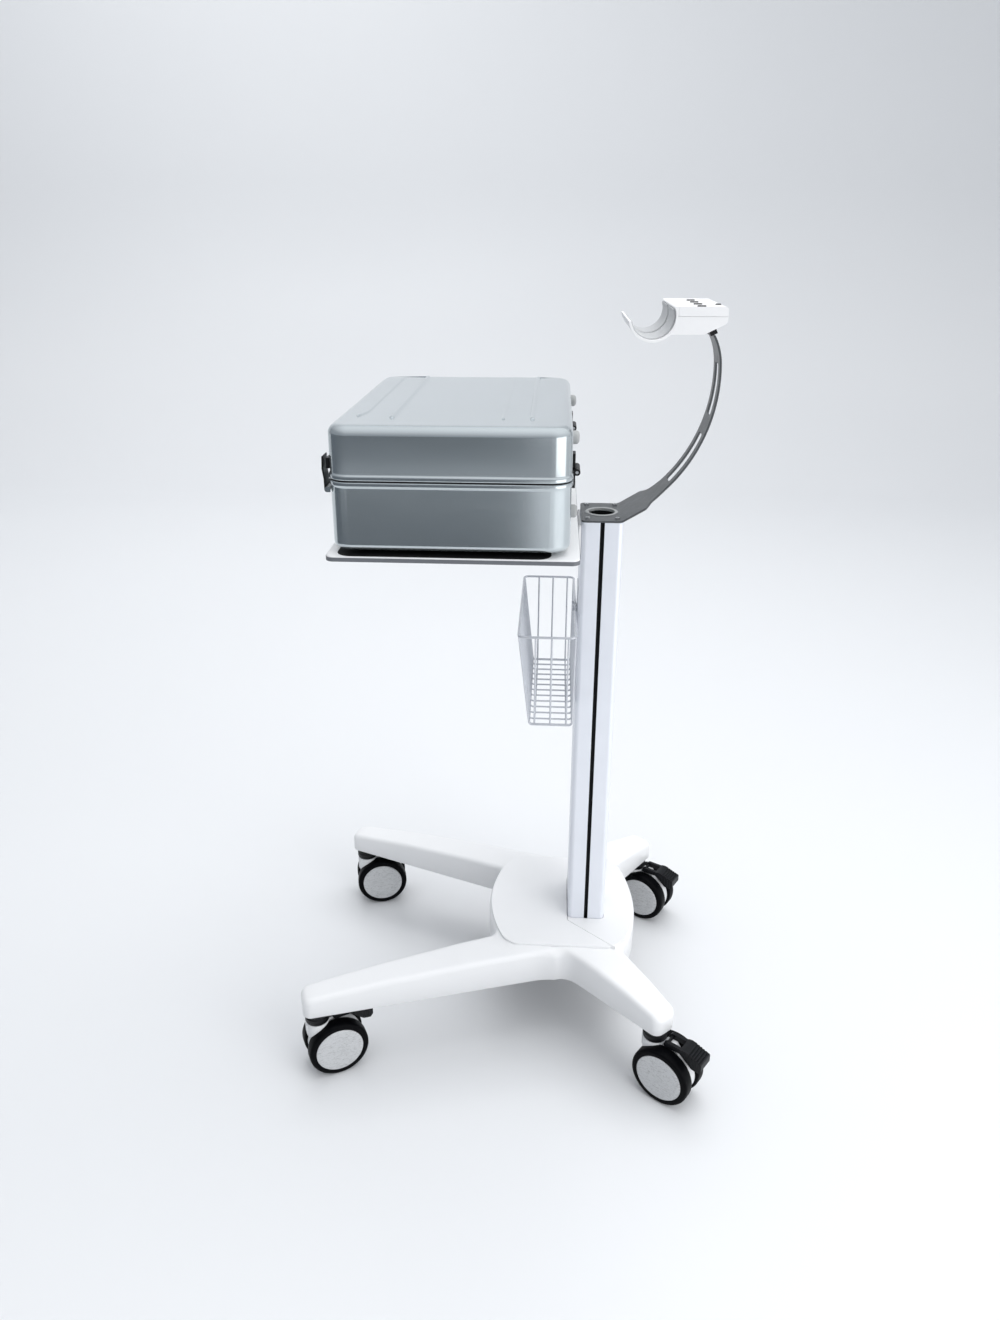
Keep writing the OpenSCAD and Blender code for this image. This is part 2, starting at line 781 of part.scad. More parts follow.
module fan_rotor() {
    blades = 7;
    color("dimgray") translate(fan_xyz) rotate([-90, 0, 0]) difference() {
        union() {
            translate([0, 0, 2.5]) cylinder(r = 9, h = 11);
            for (k = [0 : blades - 1]) rotate(k * 360 / blades) translate([8, 0, 8]) rotate([38, 0, 0])
                translate([0, -5, -0.6]) cube([13, 10, 1.2]);
        }
        translate([0, 0, 2]) cylinder(r = 1.55, h = 11);
    }
}

// Multi-pin probe socket behind a flange on the left side.
module probe_socket() {
    color("dimgray") translate([socket_xz[0], case_d / 2, socket_xz[1]]) {
        difference() {
            union() {
                translate([-50, 0, -21]) cube([100, 2.5, 42]);
                translate([-44.8, -30, -15.8]) cube([89.6, 30 + eps, 31.6]);
            }
            translate([-40, -20, -12]) cube([80, 40, 24]);
        }
        translate([-34, -21, -7]) cube([68, 14, 14]);
    }
}

module mains_inlet() {
    color("black") translate([case_x1, inlet_yz[0], inlet_yz[1]]) {
        difference() {
            union() {
                translate([0, -18, -14]) cube([2, 36, 28]);
                translate([-24, -13.8, -9.8]) cube([24 + eps, 27.6, 19.6]);
            }
            translate([-16, -11.5, -7.5]) cube([30, 23, 15]);
        }
        for (y = [-6, 0, 6]) translate([-17, y - 1, y == 0 ? 0 : -3]) cube([14, 2, 4]);
    }
}

// ---------- hinges ----------

module hinge_leaves() {
    color("black") for (s = [-1, 1]) difference() {
        union() {
            for (t = [-1, 1]) translate([0, s * hinge_y + t * (knuckle + 0.4) * 1.5 - knuckle / 2, 0]) {
                translate([hinge_x, 0, hinge_z]) rotate([-90, 0, 0]) cylinder(r = barrel_r, h = knuckle);
                translate([case_x1 + bead_out, 0, leaf_z]) cube([3, knuckle, seam_z - leaf_z]);
            }
            translate([case_x1, s * hinge_y - leaf_half, leaf_z]) cube([bead_out + 3, 2 * leaf_half, 9]);
        }
        translate([hinge_x, s * hinge_y - 30, hinge_z]) rotate([-90, 0, 0]) cylinder(r = 2, h = 60);
        // room for the lid's knuckle
        translate([hinge_x, s * hinge_y - knuckle - 0.6, hinge_z]) rotate([-90, 0, 0])
            cylinder(r = barrel_r + 0.6, h = 2 * knuckle + 1.2);
    }
}

module hinge_pins() {
    color("silver") for (s = [-1, 1]) translate([hinge_x, s * hinge_y - leaf_half, hinge_z])
        rotate([-90, 0, 0]) cylinder(r = 1.99, h = 2 * leaf_half);
}

module hinge_arms() {
    color("black") for (s = [-1, 1]) difference() {
        union() {
            translate([hinge_x, s * hinge_y - knuckle, hinge_z]) rotate([-90, 0, 0])
                cylinder(r = barrel_r, h = 2 * knuckle);
            translate([case_x1 + bead_out, s * hinge_y - knuckle, hinge_z]) cube([3, 2 * knuckle, 22]);
            translate([case_x1, s * hinge_y - knuckle, lid_z0 + bead_h + 2])
                cube([bead_out + 3, 2 * knuckle, 16]);
        }
        translate([hinge_x, s * hinge_y - 30, hinge_z]) rotate([-90, 0, 0]) cylinder(r = 2.04, h = 60);
    }
}

// ---------- console: lid ----------

module lid_shell() {
    color("white") difference() {
        union() {
            shell_form(lid_z0, case_top - 1.6, 13, 0);
            bead(lid_z0);
            for (x = rib_x) along_y(rib_y[1] - rib_y[0], (rib_y[0] + rib_y[1]) / 2)
                translate([x, case_top - 3.4]) intersection() {
                    circle(5, $fn = 32);
                    translate([-5, 0]) square([10, 3.4]);
                }
        }
        shell_form(lid_z0 - 5, case_top - 1.6, 13, shell_wall);
    }
}

module display_bezel() {
    gap = 0.2;
    color("dimgray") translate([0, 0, lid_z0 + 5]) difference() {
        linear_extrude(3) rounded_rect(case_x0 + shell_wall + gap, case_x1 - shell_wall - gap,
            case_d / 2 - shell_wall - gap, corner_r - shell_wall - gap);
        translate([screen_x[0], -screen_half, -1]) cube([screen_x[1] - screen_x[0], 2 * screen_half, 5]);
        for (s = [-1, 1], k = [0 : 5]) translate([-250 + k * 10, s * 195, -1]) cylinder(r = 2.5, h = 5);
    }
}

module lcd_panel() {
    color("black") {
        translate([screen_x[0] - 8, -screen_half - 8, lid_z0 + 8]) cube([screen_x[1] - screen_x[0] + 16,
            2 * screen_half + 16, 9]);
        translate([screen_x[0] + 0.3, -screen_half + 0.3, lid_z0 + 6])
            cube([screen_x[1] - screen_x[0] - 0.6, 2 * screen_half - 0.6, 2 + eps]);
    }
}

module lid_bumpers() {
    color("gray") for (s = [-1, 1]) translate([case_x1, s * 155, seam_z + 45]) rotate([0, 90, 0]) bumper();
}

module latch_keepers() {
    color("black") for (s = [-1, 1]) translate([case_x0 - 4.5, s * latch_y - 10, seam_z + 12])
        cube([4.5, 20, 14]);
}

// Draw latch: a bowed lever on a pin across the lower shell's front.
module latch(y) {
    t = 2.2;
    color("black") along_y(latch_w, y) difference() {
        union() {
            translate([latch_x, latch_z]) circle(3.6);
            translate([latch_x - 4.2, latch_z - 2.5]) square([t, 15.5]);
            translate([latch_x - 2.3, latch_z + 12.6]) rotate(8) translate([-t, -0.4]) square([t, 15]);
            translate([latch_x - 4.6, latch_z + 26.5]) square([t, 17]);
        }
        translate([latch_x, latch_z]) circle(latch_pin_r + run_gap);
    }
}

module latch_right() { latch(-latch_y); }
module latch_left() { latch(latch_y); }

// Handle hangs from two pivots on the front and folds flat.
module carry_handle() {
    grip_r = 7;
    drop = 40;
    color("black") {
        for (s = [-1, 1]) along_y(handle_eye, s * handle_half) difference() {
            union() {
                translate([handle_x, handle_z]) circle(6.5);
                translate([handle_x - 5, handle_z - drop]) square([10, drop]);
            }
            translate([handle_x, handle_z]) circle(handle_pin_r + run_gap);
        }
        translate([handle_x, -handle_half - handle_eye / 2, handle_z - drop]) rotate([-90, 0, 0])
            cylinder(r = grip_r, h = 2 * handle_half + handle_eye);
    }
}

// ---------- casters ----------

module caster_stems() {
    color("black") for (c = CASTERS) translate([c[0], c[1], 0]) {
        translate([0, 0, ring_z]) cylinder(r = ring_r, h = leg_floor_z - ring_z);
        translate([0, 0, 72]) cylinder(r = stem_r, h = leg_floor_z + 18 - 72);
    }
}

module caster_housing(c) {
    wheel_gap = wheel_r + 1.5;
    color("gainsboro") at_caster(c) difference() {
        union() {
            translate([caster_trail, web_half, wheel_r]) rotate([90, 0, 0])
                cylinder(r = web_r, h = 2 * web_half);
            along_y(2 * web_half) polygon([[-18, 70], [-18, ring_z - 0.5], [ring_r + 0.5, ring_z - 0.5],
                [ring_r + 1.5, pedal_pivot_z - 2], [pedal_pivot_x + 7, pedal_pivot_z - 2],
                [62, 74], [30, 60], [0, 55]]);
            translate([pedal_pivot_x, web_half, pedal_pivot_z - 1]) rotate([90, 0, 0])
                cylinder(r = 6, h = 2 * web_half);
            translate([0, 0, 66]) cylinder(r = ring_r - 0.5, h = ring_z - 0.5 - 66);
        }
        for (s = [-1, 1]) translate([caster_trail, s * (web_half + 20), wheel_r]) rotate([90, 0, 0])
            translate([0, 0, -20]) cylinder(r = wheel_gap, h = 40, $fn = 96);
        translate([caster_trail - web_r, -20, 0]) cube([2 * web_r, 40, web_low]);
        translate([0, 0, 71]) cylinder(r = stem_r + run_gap, h = 60);
        translate([caster_trail, 30, wheel_r]) rotate([90, 0, 0])
            cylinder(r = axle_r + run_gap, h = 60);
        translate([pedal_pivot_x, 30, pedal_pivot_z]) rotate([90, 0, 0])
            cylinder(r = pedal_pin_r + run_gap, h = 60);
    }
}

module wheel_cores(c) {
    cap_r = 39.5;
    color("lightgray") at_caster(c) translate([caster_trail, 0, wheel_r]) rotate([90, 0, 0]) {
        translate([0, 0, -tyre_out]) cylinder(r = axle_r, h = 2 * tyre_out);
        for (s = [0, 1]) mirror([0, 0, s]) {
            translate([0, 0, tyre_in]) ring(12, 3, tyre_w - 4);
            translate([0, 0, tyre_out - 6]) cylinder(r = rim_r - 0.02, h = 5);
            translate([0, 0, tyre_in]) ring(rim_r - 0.02, rim_r - 4, tyre_w - 3);
            translate([0, 0, tyre_out - 1 - eps]) cylinder(r = cap_r, h = 1.8);
            for (k = [0 : 5]) rotate(k * 60) translate([10, -1.5, tyre_in + 1])
                cube([rim_r - 12, 3, tyre_w - 6]);
        }
    }
}

module tyres(c) {
    shoulder = 5;
    color("black") at_caster(c) translate([caster_trail, 0, wheel_r]) rotate([90, 0, 0])
        for (s = [0, 1]) mirror([0, 0, s]) rotate_extrude($fn = 96) {
            translate([rim_r, tyre_in]) square([wheel_r - rim_r - shoulder, tyre_w]);
            translate([rim_r, tyre_in + shoulder]) square([wheel_r - rim_r, tyre_w - 2 * shoulder]);
            for (y = [tyre_in + shoulder, tyre_out - shoulder])
                translate([wheel_r - shoulder, y]) circle(shoulder, $fn = 32);
        }
}

// Foot pedal: two arms on the housing's pin, then a ribbed toe.
module brake_pedal(c) {
    toe_x = 52;
    toe_end = 91;
    arm_in = web_half + 0.5;
    arm_out = 14;
    low = pedal_pivot_z - 3.5;
    color("black") at_caster(c) {
        translate([pedal_pivot_x, arm_out, pedal_pivot_z]) rotate([90, 0, 0])
            cylinder(r = pedal_pin_r, h = 2 * arm_out);
        for (s = [-1, 1]) along_y(arm_out - arm_in, s * (arm_in + arm_out) / 2) difference() {
            union() {
                translate([pedal_pivot_x, pedal_pivot_z]) circle(5);
                polygon([[pedal_pivot_x, low], [toe_x + 2, low + 1], [toe_x + 2, pedal_pivot_z + 5],
                    [pedal_pivot_x, pedal_pivot_z + 5]]);
            }
            translate([pedal_pivot_x, pedal_pivot_z]) circle(pedal_pin_r - eps);
        }
        along_y(30) translate([0, pedal_pivot_z]) polygon([[toe_x, -2.5], [toe_x + 10, -11],
            [toe_x + 22, -21], [toe_end - 5, -23], [toe_end, -17], [toe_end, 2.5], [toe_end - 6, 4],
            [toe_x, 5.5]]);
        for (k = [0 : 5]) translate([toe_x + 9 + k * 5, -15, pedal_pivot_z + 1]) cube([2, 30, 5]);
    }
}

base_shell();
base_frame();
hub_cover_front();
hub_cover_rear();
column();
frame_screws();
caster_stems();
arm();
cable_grommet();
arm_collar();
holder_body();
holder_lid();
holder_liners();
tray();
tray_bracket();
basket_bracket();
basket();
lower_shell();
shell_feet();
rim_seal();
control_deck();
keypad();
main_board();
power_supply();
fan_frame();
fan_rotor();
probe_socket();
mains_inlet();
hinge_leaves();
hinge_pins();
lid_shell();
display_bezel();
lcd_panel();
lid_bumpers();
hinge_arms();
latch_keepers();
latch_right();
latch_left();
carry_handle();
trackball();
gain_knob();
freeze_key();
select_key();
power_button();
caster_housing(fr);  // caster_housing_fr
wheel_cores(fr);  // wheel_cores_fr
tyres(fr);  // tyres_fr
brake_pedal(fr);  // brake_pedal_fr
caster_housing(fl);  // caster_housing_fl
wheel_cores(fl);  // wheel_cores_fl
tyres(fl);  // tyres_fl
brake_pedal(fl);  // brake_pedal_fl
caster_housing(rr);  // caster_housing_rr
wheel_cores(rr);  // wheel_cores_rr
tyres(rr);  // tyres_rr
brake_pedal(rr);  // brake_pedal_rr
caster_housing(rl);  // caster_housing_rl
wheel_cores(rl);  // wheel_cores_rl
tyres(rl);  // tyres_rl
brake_pedal(rl);  // brake_pedal_rl
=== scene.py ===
"""Looks of a portable ultrasound console on a rolling stand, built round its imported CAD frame.

Shapes are worked out in millimetres, in the frame's own axes, and scaled to metres when a mesh is made.
+X is the rear of the cart, -Y its right side, +Z up.
"""
import json
from math import asin, atan2, ceil, copysign, cos, degrees, dist, hypot, pi, radians, sin, sqrt, tan

import bmesh
import bpy
import numpy as np
from mathutils import Matrix, Vector
from mathutils.geometry import delaunay_2d_cdt


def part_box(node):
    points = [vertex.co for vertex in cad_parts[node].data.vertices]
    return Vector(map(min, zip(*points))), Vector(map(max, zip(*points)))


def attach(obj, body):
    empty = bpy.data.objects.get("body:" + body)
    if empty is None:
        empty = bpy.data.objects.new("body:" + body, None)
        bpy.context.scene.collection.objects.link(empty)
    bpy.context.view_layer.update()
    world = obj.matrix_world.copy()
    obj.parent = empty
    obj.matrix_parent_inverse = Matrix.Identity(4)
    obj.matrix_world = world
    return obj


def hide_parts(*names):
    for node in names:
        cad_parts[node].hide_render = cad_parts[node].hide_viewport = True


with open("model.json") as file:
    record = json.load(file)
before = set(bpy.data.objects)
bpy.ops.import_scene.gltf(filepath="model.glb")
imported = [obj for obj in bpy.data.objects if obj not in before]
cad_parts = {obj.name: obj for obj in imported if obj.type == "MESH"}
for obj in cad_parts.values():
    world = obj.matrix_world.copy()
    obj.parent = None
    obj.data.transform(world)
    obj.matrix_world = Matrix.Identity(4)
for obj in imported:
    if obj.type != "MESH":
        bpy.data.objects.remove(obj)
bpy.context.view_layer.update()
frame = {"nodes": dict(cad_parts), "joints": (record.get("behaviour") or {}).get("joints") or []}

MM = 0.001
JOINTS = {j["name"]: j for j in frame["joints"]}
CASTERS = ("fr", "fl", "rr", "rl")
SIDES = (-1, 1)


# ---------- measures taken from the frame ----------

def box(*nodes):
    """Lowest and highest corner of the nodes together, in millimetres."""
    corners = [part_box(n) for n in nodes]
    low = [min(c[0][k] for c in corners) / MM for k in range(3)]
    high = [max(c[1][k] for c in corners) / MM for k in range(3)]
    return Vector(low), Vector(high)


def joint_at(name):
    return Vector(JOINTS[name]["pos_m"]) / MM


# ---------- outlines ----------

def arc(cx, cy, r, start, end, steps):
    """Points along an arc, angles in degrees."""
    angles = [radians(start + (end - start) * k / steps) for k in range(steps + 1)]
    return [(cx + r * cos(a), cy + r * sin(a)) for a in angles]


def rounded(points, radius, steps=6):
    """The polygon with its corners turned into arcs. radius is one number, or one for each corner."""
    out = []
    for i, point in enumerate(points):
        r = radius[i] if isinstance(radius, list) else radius
        if r <= 0:
            out.append(tuple(point))
            continue
        here = Vector(point)
        back = Vector(points[i - 1]) - here
        ahead = Vector(points[(i + 1) % len(points)]) - here
        half = back.angle(ahead) / 2
        cut = min(r / tan(half), 0.49 * back.length, 0.49 * ahead.length)
        reach = cut * tan(half) / sin(half)
        centre = here + (back.normalized() + ahead.normalized()).normalized() * reach
        first = here + back.normalized() * cut - centre
        last = here + ahead.normalized() * cut - centre
        sweep = first.angle(last)
        for t in (k / steps for k in range(steps + 1)):
            out.append(tuple(centre + (first * sin((1 - t) * sweep) + last * sin(t * sweep)) / sin(sweep)))
    return out


def bent(points, radius, steps):
    """An open line or path with its inner corners turned into arcs."""
    return rounded(points, [0] + [radius] * (len(points) - 2) + [0], steps)


def rounded_rect(x0, x1, y0, y1, r, steps=8):
    corners = ((x1 - r, y1 - r, 0), (x0 + r, y1 - r, 90), (x0 + r, y0 + r, 180), (x1 - r, y0 + r, 270))
    return [p for cx, cy, start in corners for p in arc(cx, cy, r, start, start + 90, steps)]


def circle(cx, cy, r, steps=48):
    return arc(cx, cy, r, 0, 360, steps)[:-1]


def pairs(loop):
    """Each two neighbours round a closed loop."""
    return zip(loop, loop[1:] + loop[:1])


def numbered(loops):
    """The points of all loops in one list, and each loop as indices into it."""
    flat, ids = [], []
    for loop in loops:
        ids.append(list(range(len(flat), len(flat) + len(loop))))
        flat += loop
    return flat, ids


# ---------- meshes ----------

def crossings(x, y, loops):
    """For arrays of points, True where a point is inside the outlines, which leave each other as holes."""
    odd = np.zeros(len(x), bool)
    for loop in loops:
        for (x0, y0), (x1, y1) in pairs(loop):
            if y0 != y1:
                odd ^= ((y0 > y) != (y1 > y)) & (x < (x1 - x0) * (y - y0) / (y1 - y0) + x0)
    return odd


LEAST_AREA = 1e-4


def fill(points, loops):
    """Triangles, as indices into points, that fill the first loop and leave the others as holes."""
    edges = [edge for loop in loops for edge in pairs(loop)]
    made = delaunay_2d_cdt([Vector(p) for p in points], edges, [], 0, 1e-5, True)
    corners = np.array([[made[0][i][:] for i in face] for face in made[2]])
    middles = corners.mean(axis=1)
    inside = crossings(middles[:, 0], middles[:, 1], [[points[i][:2] for i in loop] for loop in loops])
    side, other = corners[:, 1] - corners[:, 0], corners[:, 2] - corners[:, 0]
    inside &= np.abs(side[:, 0] * other[:, 1] - side[:, 1] * other[:, 0]) > LEAST_AREA
    return [tuple(made[3][i][0] for i in face) for face, kept in zip(made[2], inside) if kept]


def prism(loops, axis, low, high):
    """Solid between two planes across axis Y or Z. loops[0] is the outline, the rest are holes."""
    flat, ids = numbered(loops)
    count = len(flat)
    verts = [(u, v, w) if axis == "Z" else (u, w, v) for w in (low, high) for u, v in flat]
    caps = fill(flat, ids)
    faces = caps + [tuple(i + count for i in reversed(f)) for f in caps]
    faces += [(a, b, b + count, a + count) for loop in ids for a, b in pairs(loop)]
    return verts, faces


def block(low, high):
    (x0, y0, z0), (x1, y1, z1) = low, high
    return prism([[(x0, y0), (x1, y0), (x1, y1), (x0, y1)]], "Z", z0, z1)


def loft(rings, cap_first=False, cap_last=False):
    """Quads between closed rings that all have the same number of points."""
    n = len(rings[0])
    verts = [p for ring in rings for p in ring]
    faces = [(k + i, k + (i + 1) % n, k + n + (i + 1) % n, k + n + i)
             for k in range(0, len(verts) - n, n) for i in range(n)]
    if cap_first:
        faces.append(tuple(reversed(range(n))))
    if cap_last:
        faces.append(tuple(range(len(verts) - n, len(verts))))
    return verts, faces


def turns(steps):
    return [(cos(2 * pi * k / steps), sin(2 * pi * k / steps)) for k in range(steps)]


def lathe(profile, steps=72):
    """Turns a closed profile of (radius, height) round the local Z axis."""
    rings = [[(r * c, r * s, z) for r, z in profile] for c, s in turns(steps)]
    verts, faces = loft(rings + rings[:1])
    last = len(rings) * len(profile)
    return verts[:last], [tuple(i % last for i in f) for f in faces]


def spin_solid(profile, steps=72):
    """Turns an open profile that starts and ends on the axis into a closed solid."""
    verts, faces = loft([[(r * c, r * s, z) for c, s in turns(steps)] for r, z in profile[1:-1]])
    first, last = len(verts), len(verts) + 1
    verts += [(0, 0, profile[0][1]), (0, 0, profile[-1][1])]
    top = first - steps
    for i in range(steps):
        j = (i + 1) % steps
        faces += [(first, j, i), (last, top + i, top + j)]
    return verts, faces


def tube(path, r, sides=10, closed=False):
    """A round wire along a path, with its cross-sections carried along without twist."""
    points = [Vector(p) for p in path]
    count = len(points)
    rings = []
    side = None
    for i, here in enumerate(points):
        before = points[i - 1] if closed or i > 0 else here
        after = points[(i + 1) % count] if closed or i < count - 1 else here
        ahead = (after - before).normalized()
        if side is None:
            side = ahead.orthogonal().normalized()
        side = (side - ahead * side.dot(ahead)).normalized()
        up = ahead.cross(side)
        rings.append([tuple(here + (side * c + up * s) * r) for c, s in turns(sides)])
    if not closed:
        return loft(rings, True, True)
    verts, faces = loft(rings)
    last = (count - 1) * sides
    shift = min(range(sides), key=lambda s: (Vector(rings[-1][0]) - Vector(rings[0][s])).length)
    faces += [(last + i, last + (i + 1) % sides, (i + 1 + shift) % sides, (i + shift) % sides)
              for i in range(sides)]
    return verts, faces


def joined(*parts):
    """Several (verts, faces) as one."""
    verts, faces = [], []
    for v, f in parts:
        start = len(verts)
        verts += list(v)
        faces += [tuple(i + start for i in face) for face in f]
    return verts, faces


def moved(part, matrix):
    return [tuple(matrix @ Vector(v)) for v in part[0]], part[1]


def to(x, y, z):
    return Matrix.Translation((x, y, z))


def added(name, data):
    """A new object in the scene."""
    obj = bpy.data.objects.new(name, data)
    bpy.context.scene.collection.objects.link(obj)
    return obj


def mesh_of(name, part):
    """A mesh in metres from (verts, faces) in millimetres, with its faces turned outward."""
    mesh = bpy.data.meshes.new(name)
    mesh.from_pydata([(x * MM, y * MM, z * MM) for x, y, z in part[0]], [], part[1])
    work = bmesh.new()
    work.from_mesh(mesh)
    bmesh.ops.remove_doubles(work, verts=work.verts, dist=1e-6)
    bmesh.ops.recalc_face_normals(work, faces=work.faces)
    work.to_mesh(mesh)
    work.free()
    return mesh


def piece(name, part, body, finish, stands_for=(), sharp=30, bevel=0, segments=2, at=None, wall=None, cut=None):
    """Makes one object of the model: its mesh, finish and body, and the CAD nodes it stands for.

    wall is (thickness, side) for an open sheet: side -1 thickens it inward, 0 both ways. cut is a shape taken out.
    """
    obj = added(name, mesh_of(name, moved(part, at) if at is not None else part))
    if cut:
        carve(obj, cut)
    mesh = obj.data
    mesh.shade_smooth()
    if wall:
        shell = obj.modifiers.new("wall", "SOLIDIFY")
        shell.thickness = wall[0] * MM
        shell.offset = wall[1]
        shell.use_even_offset = True
    if bevel:
        round_edges(obj, bevel, segments, sharp)
    else:
        mesh.set_sharp_from_angle(angle=radians(sharp))
    slot, material = FINISHES[finish]
    mesh.materials.append(material)
    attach(obj, body)
    if stands_for:
        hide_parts(*stands_for)


def carve(obj, cutter):
    """Cuts a shape out of an object's own mesh, before it has other modifiers."""
    tool = added("cutter", mesh_of("cutter", cutter))
    cut = obj.modifiers.new("cut", "BOOLEAN")
    cut.operation = "DIFFERENCE"
    cut.solver = "EXACT"
    cut.object = tool
    graph = bpy.context.evaluated_depsgraph_get()
    whole, obj.data = obj.data, bpy.data.meshes.new_from_object(obj.evaluated_get(graph), depsgraph=graph)
    obj.modifiers.remove(cut)
    for mesh in (whole, tool.data):
        bpy.data.meshes.remove(mesh)
    obj.data.name = obj.name


def round_edges(obj, width, segments, angle):
    edge = obj.modifiers.new("edges", "BEVEL")
    edge.width = width * MM
    edge.segments = segments
    edge.limit_method = "ANGLE"
    edge.angle_limit = radians(angle)
    edge.use_clamp_overlap = True
    edge.miter_outer = "MITER_ARC"
    weigh = obj.modifiers.new("normals", "WEIGHTED_NORMAL")
    weigh.keep_sharp = True
    weigh.weight = 50


def cad_node(name, finish, bevel):
    """Gives a CAD node its finish and softened edges."""
    obj = frame["nodes"][name]
    obj.data.materials.clear()
    obj.data.materials.append(FINISHES[finish][1])
    weld = obj.modifiers.new("weld", "WELD")
    weld.merge_threshold = 0.02 * MM
    round_edges(obj, bevel, 2, 35)


# ---------- materials ----------

class Nodes:
    """Short calls for building a node tree in an object's own coordinates.

    The renderer's denoiser treats roughness under about 0.27 as a mirror, so each finish keeps to one side of it.
    """

    def __init__(self, name):
        self.material = bpy.data.materials.new(name)
        self.material.use_nodes = True
        self.tree = self.material.node_tree
        self.shader = self.tree.nodes["Principled BSDF"]
        self.place = self.node("TexCoord").outputs["Object"]

    def put(self, node, name, value):
        """Gives an input a plain value, or links another node's output to it."""
        socket = node.inputs[name]
        if isinstance(value, bpy.types.NodeSocket):
            self.tree.links.new(value, socket)
        else:
            socket.default_value = (*value, 1) if socket.type == "RGBA" else value

    def node(self, kind, **inputs):
        made = self.tree.nodes.new("ShaderNode" + kind)
        for name, value in inputs.items():
            self.put(made, name, value)
        return made

    def stretched(self, stretch):
        return self.node("Mapping", Vector=self.place, Scale=stretch).outputs["Vector"] if stretch else self.place

    def noise(self, scale, detail=4, rough=0.5, stretch=None, distort=0.0):
        return self.node("TexNoise", Scale=scale, Detail=detail, Roughness=rough, Distortion=distort,
                         Vector=self.stretched(stretch)).outputs["Fac"]

    def cells(self, scale, feature="F1", stretch=None):
        made = self.node("TexVoronoi", Scale=scale, Vector=self.stretched(stretch))
        made.feature = feature
        return made.outputs["Distance"]

    def ramp(self, source, *stops):
        """Each stop is (position, grey or colour)."""
        made = self.node("ValToRGB", Fac=source)
        ends = made.color_ramp.elements
        while len(ends) < len(stops):
            ends.new(0.5)
        for end, (position, value) in zip(ends, stops):
            end.position = position
            end.color = (*value, 1) if isinstance(value, tuple) else (value, value, value, 1)
        return made.outputs["Color"]

    def tones(self, source, color, *stops):
        """A ramp from shades of one colour. Each stop is (position, factor)."""
        return self.ramp(source, *((position, shade(color, factor)) for position, factor in stops))

    def mix(self, factor, a, b, blend="MIX"):
        made = self.node("Mix")
        made.data_type = "RGBA"
        made.blend_type = blend
        for name, value in (("Factor", factor), ("A", a), ("B", b)):
            self.put(made, name, value)
        return made.outputs["Result"]

    def finish(self, color, rough, *layers, **values):
        """Feeds the shader. Each bump layer is (height, distance in metres, strength), the last one on top."""
        self.put(self.shader, "Base Color", color)
        self.put(self.shader, "Roughness", rough)
        below = {}
        for height, distance, strength in layers:
            bump = self.node("Bump", Height=height, Distance=distance, Strength=strength, **below)
            below = {"Normal": bump.outputs["Normal"]}
            self.put(self.shader, "Normal", bump.outputs["Normal"])
        for name, value in values.items():
            self.put(self.shader, name.replace("_", " "), value)
        return self.material


def shade(color, factor):
    return tuple(min(1.0, c * factor) for c in color)


def moulded(name, color, rough, grain=0.00003, grain_scale=900, vary=0.04, coat=0.0, shine=0.5):
    """Moulded plastic or smooth paint: faint mottling, worn gloss and fine grain."""
    n = Nodes(name)
    return n.finish(n.tones(n.noise(6, 4, 0.5), color, (0.2, 1 - vary), (0.8, 1 + vary * 0.5)),
                    n.ramp(n.noise(16, 5, 0.55), (0.2, rough * 0.85), (0.8, rough * 1.2)),
                    (n.noise(grain_scale, 3, 0.6), grain, 0.3),
                    Coat_Weight=coat, Coat_Roughness=0.12, Specular_IOR_Level=shine)


def enamel(name, color, rough, metallic, coat):
    """Glossy sprayed enamel over metal: orange peel, wiped streaks and fine scratches."""
    n = Nodes(name)
    scratch = n.noise(120, 3, 0.8, (0.3, 6, 6), 0.3)
    return n.finish(n.tones(n.noise(5, 4, 0.55), color, (0.2, 0.97), (0.8, 1.03)),
                    n.ramp(n.noise(9, 6, 0.7, (1, 5, 5)), (0.2, rough * 0.9), (0.8, rough * 1.2)),
                    (n.noise(260, 2, 0.4), 0.000002, 0.1),
                    (n.ramp(scratch, (0.62, 0.0), (0.7, 1.0)), 0.000003, 0.1),
                    Metallic=metallic, Coat_Weight=coat, Coat_Roughness=0.06)


def powder(name, color, rough, vary=0.08, worn=0.0):
    """Textured powder coat: pebbled surface, cloudy tone and rubbed patches."""
    n = Nodes(name)
    rub = n.noise(70, 5, 0.75, (1, 2.5, 1))
    tone = n.tones(n.noise(22, 6, 0.65), color, (0.3, 1 - vary), (0.7, 1 + vary))
    return n.finish(n.mix(n.ramp(rub, (0.6, 0.0), (0.78, worn)), tone, shade(color, 2.2)),
                    n.ramp(rub, (0.4, rough), (0.8, rough * 0.7)),
                    (n.cells(900), 0.00006, 0.5), (n.noise(420, 4, 0.6), 0.00004, 0.5))


def rubber(name, color, rough=0.6, dust=0.12, shine=0.4):
    """Rubber or polyurethane: fine grain and pale dust in patches."""
    n = Nodes(name)
    patches = n.noise(45, 6, 0.7)
    return n.finish(n.ramp(patches, (0.4, color), (0.72, tuple(c + dust * 0.35 for c in color))),
                    n.ramp(patches, (0.35, rough * 0.8), (0.7, rough * 1.3)),
                    (n.noise(700, 4, 0.6), 0.00005, 0.5), Specular_IOR_Level=shine)


